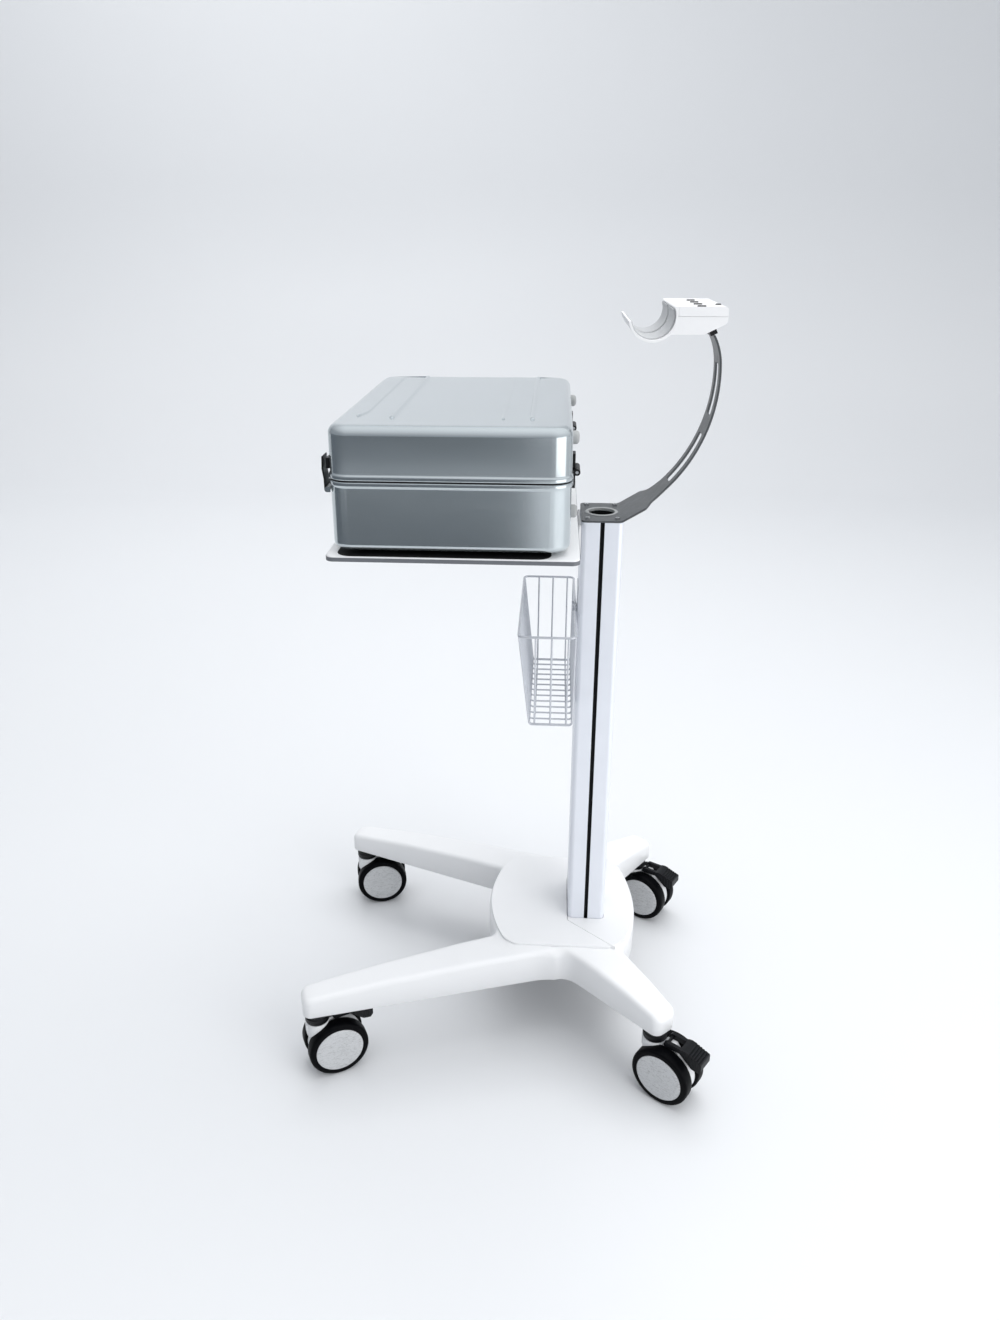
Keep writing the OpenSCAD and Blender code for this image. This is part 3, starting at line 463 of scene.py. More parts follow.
def scuffed(name, color, rough):
    """Wheel caps: satin plastic with hair scratches, rub marks and grey specks."""
    n = Nodes(name)
    hair = n.noise(90, 4, 0.85, (1, 1, 7), 1.2)
    marks = n.tones(hair, color, (0.38, 0.6), (0.46, 1), (0.7, 1.05))
    specks = n.ramp(n.noise(260, 5, 0.8), (0.36, 0.45), (0.43, 1.0))
    return n.finish(n.mix(0.5, marks, specks, "MULTIPLY"), n.ramp(hair, (0.3, rough * 1.4), (0.7, rough)),
                    (n.noise(600, 3, 0.6), 0.00003, 0.4))


def brushed(name, color, rough, stretch, metallic=1.0, line=0.00003):
    """Machined, rolled or drawn metal with a grain along one axis."""
    n = Nodes(name)
    grain = n.noise(240, 5, 0.7, stretch)
    return n.finish(n.tones(n.noise(12, 4, 0.5), color, (0.2, 0.96), (0.8, 1.03)),
                    n.ramp(grain, (0.3, rough * 0.85), (0.7, rough * 1.3)), (grain, line, 0.35), Metallic=metallic)


def glass(name):
    """Black display glass with faint finger marks."""
    n = Nodes(name)
    marks = n.noise(30, 6, 0.7, distort=1.0)
    return n.finish(n.ramp(marks, (0.4, 0.008), (0.8, 0.02)), n.ramp(marks, (0.45, 0.05), (0.75, 0.22)),
                    (n.noise(3, 2, 0.4), 0.0002, 0.05), Coat_Weight=0.6, Coat_Roughness=0.04)


def board(name):
    """Circuit board: green resist over a fine pattern of tracks."""
    n = Nodes(name)
    tracks = n.cells(160, "DISTANCE_TO_EDGE", (1, 2.2, 1))
    return n.finish(n.ramp(tracks, (0.03, (0.09, 0.3, 0.12)), (0.08, (0.012, 0.12, 0.05))),
                    n.ramp(n.noise(40, 4), (0.3, 0.3), (0.7, 0.5)), (tracks, 0.0001, 0.3))


# Each finish: the record's slot, and the material made for it.
FINISHES = {
    "base": ("base_white", moulded("base_paint", (0.86, 0.865, 0.872), 0.34, vary=0.02)),
    "steel": ("frame_steel", powder("frame_paint", (0.05, 0.052, 0.055), 0.5)),
    "column": ("column_aluminium", brushed("column_coat", (0.84, 0.865, 0.92), 0.38, (1, 1, 0.02), 0.35, 0.00001)),
    "screw": ("screw_steel", brushed("screw_metal", (0.62, 0.63, 0.64), 0.35, (1, 1, 1))),
    "caster": ("caster_black", moulded("caster_plastic", (0.005, 0.0055, 0.007), 0.4, vary=0.2, shine=0.25)),
    "arm": ("arm_grey", powder("arm_coat", (0.07, 0.075, 0.08), 0.4, vary=0.14, worn=0.3)),
    "holder": ("holder_white", moulded("holder_plastic", (0.9, 0.9, 0.905), 0.34)),
    "liner": ("holder_liner", rubber("liner_rubber", (0.5, 0.51, 0.52), 0.6, 0.1)),
    "tray": ("tray_white", moulded("tray_paint", (0.86, 0.865, 0.87), 0.34, grain_scale=500, coat=0.2)),
    # Dark grey over the tray's white rim side: painted dark reflection.
    "edge": ("tray_white", moulded("painted_rim_reflection", (0.16, 0.17, 0.185), 0.4, vary=0.1)),
    "wire": ("wire_white", enamel("wire_coat", (0.6, 0.62, 0.66), 0.2, 0.5, 0.3)),
    "console": ("console_white", enamel("console_enamel", (0.58, 0.63, 0.65), 0.16, 0.85, 0.2)),
    # Black rubber for seals, feet, grips and pads; the same black also paints the shade under the case and in the
    # column's slots and bore.
    "rubber": ("rubber_black", rubber("black_rubber_and_painted_shade", (0.008, 0.008, 0.009), 0.6, 0.02, 0.2)),
    "bumper": ("bumper_grey", rubber("bumper_rubber", (0.36, 0.37, 0.37), 0.5)),
    "hardware": ("hardware_black", moulded("hardware_plastic", (0.008, 0.008, 0.009), 0.38, vary=0.2, shine=0.3)),
    "deck": ("deck_grey", moulded("deck_plastic", (0.16, 0.17, 0.18), 0.5, grain=0.00006, grain_scale=700)),
    "keys": ("keypad_silicone", rubber("keypad_rubber", (0.55, 0.56, 0.57), 0.5, 0.05)),
    "screen": ("screen_glass", glass("display_glass")),
    "board": ("board_green", board("board_resist")),
    "supply": ("supply_steel", brushed("supply_sheet", (0.55, 0.56, 0.57), 0.36, (1, 0.05, 1))),
    "fan": ("fan_plastic", moulded("fan_moulding", (0.05, 0.05, 0.053), 0.45)),
    "socket": ("socket_grey", moulded("socket_moulding", (0.12, 0.12, 0.125), 0.45)),
    "control": ("control_dark", moulded("control_gloss", (0.045, 0.046, 0.05), 0.2, coat=0.4)),
    "blue": ("key_blue", moulded("blue_key", (0.05, 0.16, 0.5), 0.35)),
    "grey": ("key_grey", moulded("grey_key", (0.5, 0.5, 0.51), 0.4)),
    "green": ("key_green", moulded("green_key", (0.06, 0.38, 0.2), 0.35)),
    "housing": ("caster_grey", moulded("housing_plastic", (0.78, 0.79, 0.8), 0.36)),
    "cap": ("hub_grey", scuffed("cap_plastic", (0.58, 0.59, 0.6), 0.34)),
    "tyre": ("tyre_black", rubber("tyre_polyurethane", (0.002, 0.0022, 0.003), 0.4, 0.004, 0.05)),
}


# ---------- base ----------

BASE_LOW, DECK = (corner.z for corner in box("base_shell"))
CROWN_ROUND = 9
TIP_PAST, TIP_ROUND, TIP_HALF = 23, 13, 22
HUB_MIDDLE, HUB_HALF = -42, 131
HUB_ARCS = ((79, 251), (-213, 301))
HUB_ROUND = 154
HUB_BLEND, LEG_BLEND = 16, 46
# root of a front and a rear leg on the +Y side, and its half width there
ROOTS = {"f": (-100, 112, 36), "r": (6, 114, 40)}
# how far the crown lies below the deck along a leg
CROWN_AT = (0.0, 0.3, 0.65, 0.95, 1.0)
CROWN_DROP = (1.0, 3.5, 11.0, 22.0, 25.5)


def legs():
    """Each leg as (root, direction, length, half width at the root)."""
    found = []
    for name in CASTERS:
        x, y, half = ROOTS[name[0]]
        stem = joint_at("swivel_%s_turn" % name)
        root = np.array([x, copysign(y, stem.y)])
        way = np.array([stem.x, stem.y]) - root
        span = np.linalg.norm(way)
        found.append((root, way / span, span + TIP_PAST, half))
    return found


LEGS = legs()


def smooth_least(a, b, k):
    h = np.maximum(k - np.abs(a - b), 0) / k
    return np.minimum(a, b) - h * h * k / 4


def leg_distance(x, y, leg):
    """Signed distance from one leg's outline, with its rounded tip, and the share of the way along it."""
    root, way, length, half = leg
    u = (x - root[0]) * way[0] + (y - root[1]) * way[1]
    v = -(x - root[0]) * way[1] + (y - root[1]) * way[0]
    side = np.abs(v) - half - (TIP_HALF - half) * u / length + TIP_ROUND
    end = u - length + TIP_ROUND
    out = np.hypot(np.maximum(side, 0), np.maximum(end, 0)) + np.minimum(np.maximum(side, end), 0) - TIP_ROUND
    return np.maximum(out, -u - 30), u / length


def hub_distance(x, y):
    """Signed distance from the hub's outline: three arcs and two straight sides."""
    out = np.abs(y) - HUB_HALF
    for cx, r in HUB_ARCS + ((HUB_MIDDLE, HUB_ROUND),):
        out = -smooth_least(-out, r - np.hypot(x - cx, y), 8)
    return out


def base_distance(x, y):
    near, far = (smooth_least(leg_distance(x, y, LEGS[k])[0], leg_distance(x, y, LEGS[k + 2])[0], LEG_BLEND)
                 for k in (0, 1))
    return smooth_least(np.minimum(near, far), hub_distance(x, y), HUB_BLEND)


def crown_height(x, y):
    """Height of the base's top before its edge is rounded."""
    top = np.full(np.shape(x), -1e3)
    for leg in LEGS:
        away, along = leg_distance(x, y, leg)
        fall = np.interp(np.clip(along, 0, 1), CROWN_AT, CROWN_DROP)
        top = np.maximum(top, DECK - fall - 1.2 * np.maximum(away, 0))
    return -smooth_least(-top, 0.6 * np.maximum(hub_distance(x, y), 0) - DECK, 5)


def contour(distance, low, high, step):
    """Closed outline of distance = 0, traced on a grid and pulled onto the curve."""
    xs, ys = (np.arange(low[k], high[k] + step, step) for k in (0, 1))
    field = distance(*np.meshgrid(xs, ys, indexing="ij"))
    nearby = {}
    for i in range(len(xs) - 1):
        for j in range(len(ys) - 1):
            corners = [(i, j), (i + 1, j), (i + 1, j + 1), (i, j + 1)]
            cut = [tuple(sorted(side)) for side in pairs(corners) if (field[side[0]] < 0) != (field[side[1]] < 0)]
            if len(cut) == 2:
                for here, there in (cut, cut[::-1]):
                    nearby.setdefault(here, []).append(there)
    loop, last, here = [], None, min(nearby)
    while not loop or here != loop[0]:
        loop.append(here)
        last, here = here, [e for e in nearby[here] if e != last][0]
    points = []
    for a, b in loop:
        t = field[a] / (field[a] - field[b])
        points.append((xs[a[0]] + t * (xs[b[0]] - xs[a[0]]), ys[a[1]] + t * (ys[b[1]] - ys[a[1]])))
    return pulled(distance, np.array(points), 3)


def slope(distance, points, eps=0.05):
    """Outward unit normals of a distance field at the points."""
    x, y = points.T
    g = np.stack([distance(x + eps, y) - distance(x - eps, y), distance(x, y + eps) - distance(x, y - eps)], 1)
    return g / np.linalg.norm(g, axis=1)[:, None]


def pulled(distance, points, times):
    """The points moved onto the curve where distance is 0."""
    for _ in range(times):
        points = points - distance(*points.T)[:, None] * slope(distance, points)
    return points


def respaced(points, gap):
    """The closed outline with evenly spaced points."""
    ring = np.vstack([points, points[:1]])
    run = np.concatenate([[0], np.cumsum(np.linalg.norm(np.diff(ring, axis=0), axis=1))])
    at = np.linspace(0, run[-1], int(run[-1] / gap), endpoint=False)
    return np.stack([np.interp(at, run, ring[:, k]) for k in (0, 1)], 1)


def column_outline(gap, steps=8):
    low, high = box("column")
    return rounded_rect(low.x - gap, high.x + gap, low.y - gap, high.y + gap, 8 + gap, steps)


def make_base():
    edge = pulled(base_distance, respaced(contour(base_distance, (-510, -300), (180, 300), 4), 4.5), 2)
    normal = slope(base_distance, edge)
    rings = [[(x, y, BASE_LOW + rise) for x, y in edge - normal * inset] for rise, inset in ((0, 1.0), (1.2, 0.0))]
    for a in (pi / 14 * k for k in range(8)):
        flat = edge - normal * CROWN_ROUND * (1 - cos(a))
        drop = CROWN_ROUND * (1 - sin(a))
        rings.append([(x, y, h - drop) for (x, y), h in zip(flat, crown_height(*flat.T))])
    verts, faces = loft(rings)
    n = len(edge)
    first = len(verts) - n
    hole = column_outline(0.6)
    grid = np.array([(x, y) for x in np.arange(-500, 180, 11.0) for y in np.arange(-290, 291, 11.0)])
    keep = base_distance(*grid.T) < -(CROWN_ROUND + 4)
    keep &= np.maximum(np.abs(grid[:, 0]) - 36, np.abs(grid[:, 1]) - 57) > 0
    flat = [v[:2] for v in verts[first:]] + hole + [tuple(p) for p in grid[keep]]
    verts += [(x, y, h) for (x, y), h in zip(flat[n:], crown_height(*np.array(flat).T)[n:])]
    faces += [tuple(i + first for i in f) for f in fill(flat, [list(range(n)), list(range(n, n + len(hole)))])]
    piece("base_moulding", (verts, faces), "root", "base", ["base_shell"], sharp=40, wall=(4, -1))


def cover_edge(angle):
    """Point on the hub cover's outline at an angle from the hub's middle, in degrees."""
    inset = 4.0
    c, s = cos(radians(angle)), sin(radians(angle))
    reach = [HUB_ROUND - inset]
    for cx, r in HUB_ARCS:
        off = cx - HUB_MIDDLE
        reach.append(off * c + sqrt((off * c) ** 2 - off * off + (r - inset) ** 2))
    if abs(s) > 1e-6:
        reach.append((HUB_HALF - inset) / abs(s))
    least, *others = sorted(reach)
    for r in others:
        h = max(5 - (r - least), 0) / 5
        least -= h * h * 5 / 4 * 0.5
    return (HUB_MIDDLE + least * c, least * s)


def make_covers():
    """The hub's cover, split on slanted lines that run from the column to its sides."""
    low = box("hub_cover_front", "hub_cover_rear")[0].z
    seam_x, seam_y, out_x, out_y = -32.0, 60.0, 47.5, 127.0
    meet = degrees(atan2(out_y, out_x - HUB_MIDDLE))
    half = 0.5
    left, right = seam_x - half, seam_x + half
    around = [cover_edge(a) for a in np.linspace(meet, 360 - meet, 150)]
    front = [(out_x - half, out_y)] + around[1:-1] + [(out_x - half, -out_y), (left, -seam_y), (left, seam_y)]
    around = [cover_edge(a) for a in np.linspace(-meet, meet, 110)]
    cut = sorted((p for p in column_outline(0.6, 6) if p[0] > right + 0.3), key=lambda p: -atan2(p[1], p[0]))
    rear = [(right, -seam_y), (out_x + half, -out_y)] + around[1:-1] + [(out_x + half, out_y), (right, seam_y)]
    rear += [(right, cut[0][1])] + cut + [(right, cut[-1][1])]
    for name, outline in (("front", front), ("rear", rear)):
        piece("cover_" + name, prism([outline], "Z", low, low + 4), "root", "base", ["hub_cover_" + name],
              bevel=0.9, segments=3)


# ---------- column, tray, arm ----------

COLUMN_BORE = 22.0


def groove(depth_at, mouth, pocket, lip, depth):
    """A T-shaped slot cut into a face, as (offset along the face, distance from the middle)."""
    half = [(mouth, 0), (mouth, lip), (pocket, lip), (pocket, depth)]
    return [(-u, depth_at - v) for u, v in half] + [(u, depth_at - v) for u, v in reversed(half)]


def make_column():
    low, high = box("column")
    w, d, r = high.x, high.y, 8
    pocket, depth, side_pocket, side_depth = 7.0, 10.5, 6.0, 6.3
    lower = arc(r - w, r - d, r, 180, 270, 8) + [(u, -v) for u, v in groove(d, 3.25, pocket, 3.5, depth)]
    lower += arc(w - r, r - d, r, 270, 360, 8) + [(v, u) for u, v in groove(w, 3.25, side_pocket, 2.8, side_depth)]
    piece("column_extrusion", prism([lower + [(-x, -y) for x, y in lower], circle(0, 0, COLUMN_BORE, 64)], "Z",
                                    low.z, high.z), "root", "column", ["column"], bevel=0.35)
    # Thin black strips on the bottoms of the slot pockets, and a black lining and floor at the top of the bore:
    # painted shade in these recesses.
    z0, z1 = low.z + 1, high.z - 1
    shade_strips = []
    for side in SIDES:
        y0, y1 = sorted((side * (d - depth), side * (d - depth + 0.6)))
        x0, x1 = sorted((side * (w - side_depth), side * (w - side_depth + 0.6)))
        shade_strips += [block((-pocket + 0.1, y0, z0), (pocket - 0.1, y1, z1)),
                   block((x0, -side_pocket + 0.1, z0), (x1, side_pocket - 0.1, z1))]
    inner = COLUMN_BORE - 0.5
    shade_strips.append(moved(lathe([(inner, 0), (COLUMN_BORE, 0), (COLUMN_BORE, 200), (inner, 200)], 64),
                        to(0, 0, high.z - 201)))
    shade_strips.append(moved(spin_solid([(0, 0), (COLUMN_BORE, 0), (COLUMN_BORE, 1), (0, 1)], 64), to(0, 0, high.z - 202)))
    piece("painted_shade_in_slots_and_bore", joined(*shade_strips), "root", "rubber", sharp=40)


def make_tray():
    """A folded sheet with a rolled lip, and a dark grey strip round its rim side: painted dark reflection on the white
    tray.
    """
    low, high = box("tray")
    band, edge_top = 0.5, high.z - 1.4

    def rect(inset):
        return rounded_rect(low.x + inset, high.x - inset, low.y + inset, high.y - inset, 12 - inset, 8)

    rings = [(4, high.z - 2), (2, high.z - 4), (2, low.z), (band, low.z), (band, edge_top), (band + 0.3, high.z - 0.6),
             (band + 0.8, high.z - 0.15), (band + 1.8, high.z)]
    rings = [[(x, y, z) for x, y in rect(inset)] for inset, z in rings]
    piece("tray_sheet", loft(rings, True, True), "root", "tray", ["tray"], sharp=50)
    # The dark grey strip over the rim side is painted dark reflection, not a part of its own.
    piece("tray_rim_painted_reflection", prism([rect(0.0), rect(band + 0.1)], "Z", low.z, edge_top), "root", "edge", bevel=0.2)


ARM_T = 3.0
PLATE_HALF = 53
STRIP_HALF = 30
ARC_C = (-72, 1110)
ARC_R = 229.5
TIP_R = 90


def arm_path():
    """The sheet's middle line in XZ, as points about 3 mm apart."""
    low = box("arm")[0]
    z = low.z + ARM_T / 2
    tip_c = arc(*ARC_C, ARC_R - TIP_R, 5, 5, 1)[0]
    start, after = arc(*ARC_C, ARC_R, -53.4, -50, 1)
    line = rounded([(low.x, z), (28.0, z), start, after], [0, 14, 25, 0], 8)
    return [Vector(p) for p in line + arc(*ARC_C, ARC_R, -49, 5, 90) + arc(*tip_c, TIP_R, 6, 30, 16)]


def make_arm():
    line = arm_path()
    run = np.concatenate([[0.0], np.cumsum([(b - a).length for a, b in zip(line, line[1:])])])
    end = float(run[-1])

    def at_x(x):
        """Distance along the sheet where it passes an x on the plate or the ramp."""
        k = next(i for i in range(len(line)) if line[i].x >= x)
        return float(run[k - 1] + (x - line[k - 1].x) / (line[k].x - line[k - 1].x) * (run[k] - run[k - 1]))

    def at_angle(angle):
        goal = Vector(arc(*ARC_C, ARC_R, angle, angle, 1)[0])
        return float(run[min(range(len(line)), key=lambda k: (line[k] - goal).length)])

    neck = at_x(62)
    half = [(0, PLATE_HALF), (neck, PLATE_HALF), (neck + 12, 36), (neck + 38, STRIP_HALF), (end, STRIP_HALF)]
    radii = [7, 4, 12, 30, 0]
    loops = [finely(rounded([(s, -v) for s, v in half] + half[::-1], radii + radii[::-1], 8), 4.0),
             circle(at_x(0.0), 0, 23.0, 40)]
    slot_half = STRIP_HALF - 16
    for first, last in ((-42.5, -21.5), (-14.5, 4.5)):
        loops.append(finely(rounded_rect(at_angle(first), at_angle(last), -slot_half, slot_half, 5, 5), 4.0))
    flat, ids = numbered(loops)
    grid = np.array([(s, v) for s in np.arange(2, end - 2, 3.5) for v in np.arange(-48, 49, 8.0)])
    clear = crossings(*grid.T, loops)
    for p in flat:
        clear &= np.hypot(*(grid - p).T) > 2.0
    flat += [(float(s), float(v)) for s, v in grid[clear]]
    verts = []
    for s, v in flat:
        k = min(max(int(np.searchsorted(run, s)) - 1, 0), len(line) - 2)
        p = line[k].lerp(line[k + 1], (min(max(s, 0.0), end) - run[k]) / (run[k + 1] - run[k]))
        verts.append((p.x, v, p.y))
    piece("arm_sheet", (verts, fill(flat, ids)), "root", "arm", ["arm"], sharp=40, bevel=0.5, wall=(ARM_T, 0))


def finely(loop, gap):
    """Adds points to a closed outline so that no side is longer than gap."""
    out = []
    for a, b in pairs(loop):
        count = max(1, ceil(dist(a, b) / gap))
        out += [(a[0] + (b[0] - a[0]) * k / count, a[1] + (b[1] - a[1]) * k / count) for k in range(count)]
    return out


def make_grommet():
    low, high = box("cable_grommet")
    r, lip, h = 20.0, 25.0, high.z - low.z
    profile = [(r, 0), (r + 2.9, 0), (r + 2.9, h - 1), (lip, h - 1), (lip, h - 0.5), (lip - 0.6, h), (r + 1, h),
               (r + 0.2, h - 0.5)]
    piece("grommet", lathe(profile, 64), "root", "bumper", ["cable_grommet"], sharp=50, at=to(0, 0, low.z))


# ---------- probe holder ----------

CRADLE = (53.5, 1196.5)
CRADLE_IN = 30.0
CRADLE_OUT = 33.0
SPLIT_Z = 1197.0
LIP_Z = 1191.0


def make_holder():
    low, high = box("holder_body", "holder_lid")
    proud = 1.4
    x1, top = high.x, high.z - proud

    def drop(z, r):
        """Angle below the cradle's middle where a circle round it passes a height."""
        return degrees(asin((CRADLE[1] - z) / r))

    lip_in, rise = drop(LIP_Z, CRADLE_IN), degrees(asin(12 / CRADLE_IN))
    body = arc(*CRADLE, CRADLE_OUT, 180 + drop(LIP_Z, CRADLE_OUT), 360 - drop(1174, CRADLE_OUT), 30)
    body += rounded([(100, 1174), (121.5, 1174), (x1, 1189), (x1, SPLIT_Z)], [0, 10, 5, 0], 5)
    body += [(86.5, SPLIT_Z), (86.5, top), (82.4, top)] + arc(*CRADLE, CRADLE_IN, 360 + rise, 180 + lip_in, 40)
    piece("holder_cradle", prism([body], "Y", low.y, high.y), "root", "holder", ["holder_body"], sharp=35,
          bevel=1.2, segments=3)
    lid = rounded([(86.7, SPLIT_Z + 0.35), (x1, SPLIT_Z + 0.35), (x1, top), (86.7, top)], [0, 0, 4, 0], 6)
    slots, pads = [], []
    for y in (41, 0, -41, -82):
        slots.append(prism([rounded_rect(111, 123, y - 3, y + 3, 2.8, 6)], "Z", top - 2.5, top + 3))
        pads.append(prism([rounded_rect(111.2, 122.8, y - 2.8, y + 2.8, 2.6, 5)], "Z", top - 2.45, top + proud))
    slots.append(moved(prism([circle(0, 0, 4.2, 32)], "Z", top - 1.4, top + 3), to(144, -45, 0)))
    pads.append(moved(spin_solid([(0, 0), (3.9, 0), (3.9, 1.2), (3.2, 1.9), (0, 2.0)], 32),
                      to(144, -45, top + proud - 2)))
    piece("holder_cover", prism([lid], "Y", low.y, high.y), "root", "holder", ["holder_lid"], sharp=35,
          bevel=1.6, segments=3, cut=joined(*slots))
    piece("holder_pads", joined(*pads), "root", "rubber", sharp=50, bevel=0.3)
    start, end = 182 + lip_in, 379
    band = arc(*CRADLE, CRADLE_IN - 0.05, start, end, 36) + arc(*CRADLE, CRADLE_IN - 2.2, end, start, 36)
    bands = [prism([band], "Y", middle - 36, middle + 36) for middle in (-45, 45)]
    piece("holder_bands", joined(*bands), "root", "liner", ["holder_liners"], bevel=0.6)


# ---------- basket ----------

def make_basket():
    low, high = box("basket")
    rim_r, r = 1.9, 1.4
    rim_x, rim_y, rim_z = (-120.5, -35.6), 139.0, high.z - rim_r
    floor_x, floor_y, floor_z = (-103.0, -37.6), 125.0, low.z + 2 * r + 0.1
    parts = []
    for (x0, x1), y, z, radius, corner in ((rim_x, rim_y, rim_z, rim_r, 9), (floor_x, floor_y, floor_z, r, 6)):
        loop = [(x0, -y, z), (x1, -y, z), (x1, y, z), (x0, y, z)]
        parts.append(tube(rounded(loop, corner, 6), radius, 12, True))
    for t in (k / 6 - 1 for k in range(13)):
        top_y, low_y = t * (rim_y - 3), t * floor_y
        path = [(rim_x[0] + 0.6, top_y, rim_z), (floor_x[0], low_y, floor_z - r), (floor_x[1], low_y, floor_z - r),
                (rim_x[1] - 0.6, top_y, rim_z)]
        parts.append(tube(bent(path, 5, 5), r))
    for x in (-95.0, -71.0, -46.5):
        ends = ((-rim_y + 0.6, rim_z), (-floor_y + 1, floor_z - 1.8 * r), (floor_y - 1, floor_z - 1.8 * r),
                (rim_y - 0.6, rim_z))
        parts.append(tube(bent([(x, y, z) for y, z in ends], 6, 5), r))
    piece("basket_wires", joined(*parts), "basket", "wire", ["basket"], sharp=60)


# ---------- console ----------

CASE_R = 28.0
WALL = 3.0
BEAD = 1.8
CASE_X0 = box("lid_shell")[0].x + BEAD
CASE_X1, CASE_Y = (v - BEAD for v in box("lower_shell")[1][:2])
# (offset, height) from a shell's rim round its bead to the flat wall
BEAD_STEPS = ((0.6, 0.0), (1.4 - BEAD, 0.0), (0.5 - BEAD, 0.25), (0.1 - BEAD, 0.8), (-BEAD, 1.6), (-BEAD, 4.4),
              (0.15 - BEAD, 5.4), (0.6 - BEAD, 6.3), (1.2 - BEAD, 6.9), (-0.25, 7.5), (0.0, 8.4))
RIB_RISE = 2.5
STEP_RISE = 1.6


def quarter(z_end, away, radius, steps):
    """(offset, height) round an edge that ends flat at z_end."""
    return [(radius * (1 - cos(a)), z_end - away * radius * (1 - sin(a)))
            for a in (pi / 2 * k / steps for k in range(steps + 1))]


def shell_mesh(rim, flat, away, radius, relief=None):
    """Closed wall of one half of the case, up (away 1) or down (-1) from its rim. relief shapes the flat face."""
    outer = [(off, rim + away * h) for off, h in BEAD_STEPS] + quarter(flat, away, radius, 10)
    inner = [(WALL, rim)] + [(off + WALL, z) for off, z in quarter(flat - away * WALL, away, radius - WALL, 6)]
    rings = []
    for off, z in inner[::-1] + outer:
        rect = rounded_rect(CASE_X0 + off, CASE_X1 - off, off - CASE_Y, CASE_Y - off, CASE_R - off, 14)
        rings.append([(x, y, z) for x, y in rect])
    verts, faces = loft(rings, True, relief is None)
    if relief:
        n = len(rings[0])
        first = len(verts) - n
        points = [v[:2] for v in verts[first:]] + [p[:2] for p in relief]
        verts += [(x, y, flat + h) for x, y, h in relief]
        faces += [tuple(i + first for i in f) for f in fill(points, [list(range(n))])]
    return verts, faces


def lid_relief():
    """Grid points and heights of the lid's top: two round-ended ribs and two stepped edges."""
    ribs = [(-290.0, -176.0, 3.4), (-104.0, -176.0, 3.4)]
    steps = [(-329.0, -165.0, 2.4), (-142.0, -178.0, 2.4)]
    far = 219.0

    def lift(x, y):
        h = 0.0
        for line, rise, power in ((ribs, RIB_RISE, 0.6), (steps, STEP_RISE, 0.8)):
            for cx, near, half in line:
                over = min(y - near - half, 0) + max(y - far, 0)
                bend = ((near + 45 - y) / 45) ** 2 * 9 if cx < -300 and y < near + 45 else 0.0
                t = max(0.0, 1 - (hypot(x - cx + bend, over) / half) ** 2)
                h = max(h, rise * t ** power)
        return h

    def spread(*spans):
        return {float(v) for span in spans for v in np.round(np.arange(*span), 3)}

    xs = spread((CASE_X0 + 16, CASE_X0 + 300, 14), (-341, -325.1, 0.9))
    xs |= spread(*((cx - half - 1.5, cx + half + 1.6, 0.9) for cx, _, half in ribs + steps[1:]))
    ys = spread((-214, 219, 13.0), (-184, -158, 1.3), (-160, -118, 4.0), (214, 222, 1.3))
    return [(x, y, lift(x, y)) for x in sorted(xs) for y in sorted(ys)]


def make_console():
    low, high = box("lower_shell")
    tray_top = box("tray")[1].z
    # A black sheet on the tray under the case, 1 mm wider than it: painted shadow and painted dark reflection of the
    # case in the tray.
    under = rounded_rect(low.x + 20, high.x - 26, low.y - 1, high.y + 1, 20, 8)
    piece("painted_shadow_under_case", prism([under], "Z", tray_top, tray_top + 0.5), "root", "rubber")
    y0, y1 = CASE_Y - 10, CASE_Y + 10
    inlet = box("mains_inlet")
    middle = (inlet[0] + inlet[1]) / 2
    cuts = [block((-270, y0, 939), (-180, y1, 971)),
            block((CASE_X1 - 10, middle.y - 14, middle.z - 10), (CASE_X1 + 10, middle.y + 14, middle.z + 10))]
    for x in range(-144, -96, 6):
        cuts.append(prism([rounded_rect(x, x + 3, 930, 970, 1.4, 4)], "Y", y0, y1))
    piece("case_lower", shell_mesh(high.z, low.z, -1, 9.0), "root", "console", ["lower_shell"], sharp=40,
          cut=joined(*cuts))
    low, high = box("lid_shell")
    lid = shell_mesh(low.z, high.z - RIB_RISE, 1, 13.0, lid_relief())
    piece("case_lid", lid, "lid", "console", ["lid_shell"], sharp=40)
    handle = joint_at("handle_pivot")
    lugs = [part for side in SIDES for part in pivot(handle.x, side * 80, handle.z, 6.5, 3.0, 8)]
    for name in ("latch_right", "latch_left"):
        lugs += pivot(*joint_at(name + "_pivot"), 3.4, 1.5, 24)
    piece("case_lugs", joined(*lugs), "root", "console", sharp=35, bevel=0.4)


def pivot(x, y, z, r, pin, width):
    """Two cheeks on the case's front and the pin between them."""
    off = width / 2 + 0.5
    cheek = arc(x, z, r, 90, 270, 12) + [(CASE_X0 + 0.5, z - r), (CASE_X0 + 0.5, z + r)]
    return [prism([cheek], "Y", y - off - 3, y - off), prism([cheek], "Y", y + off, y + off + 3),
            prism([circle(x, z, pin, 20)], "Y", y - off - 1, y + off + 1)]


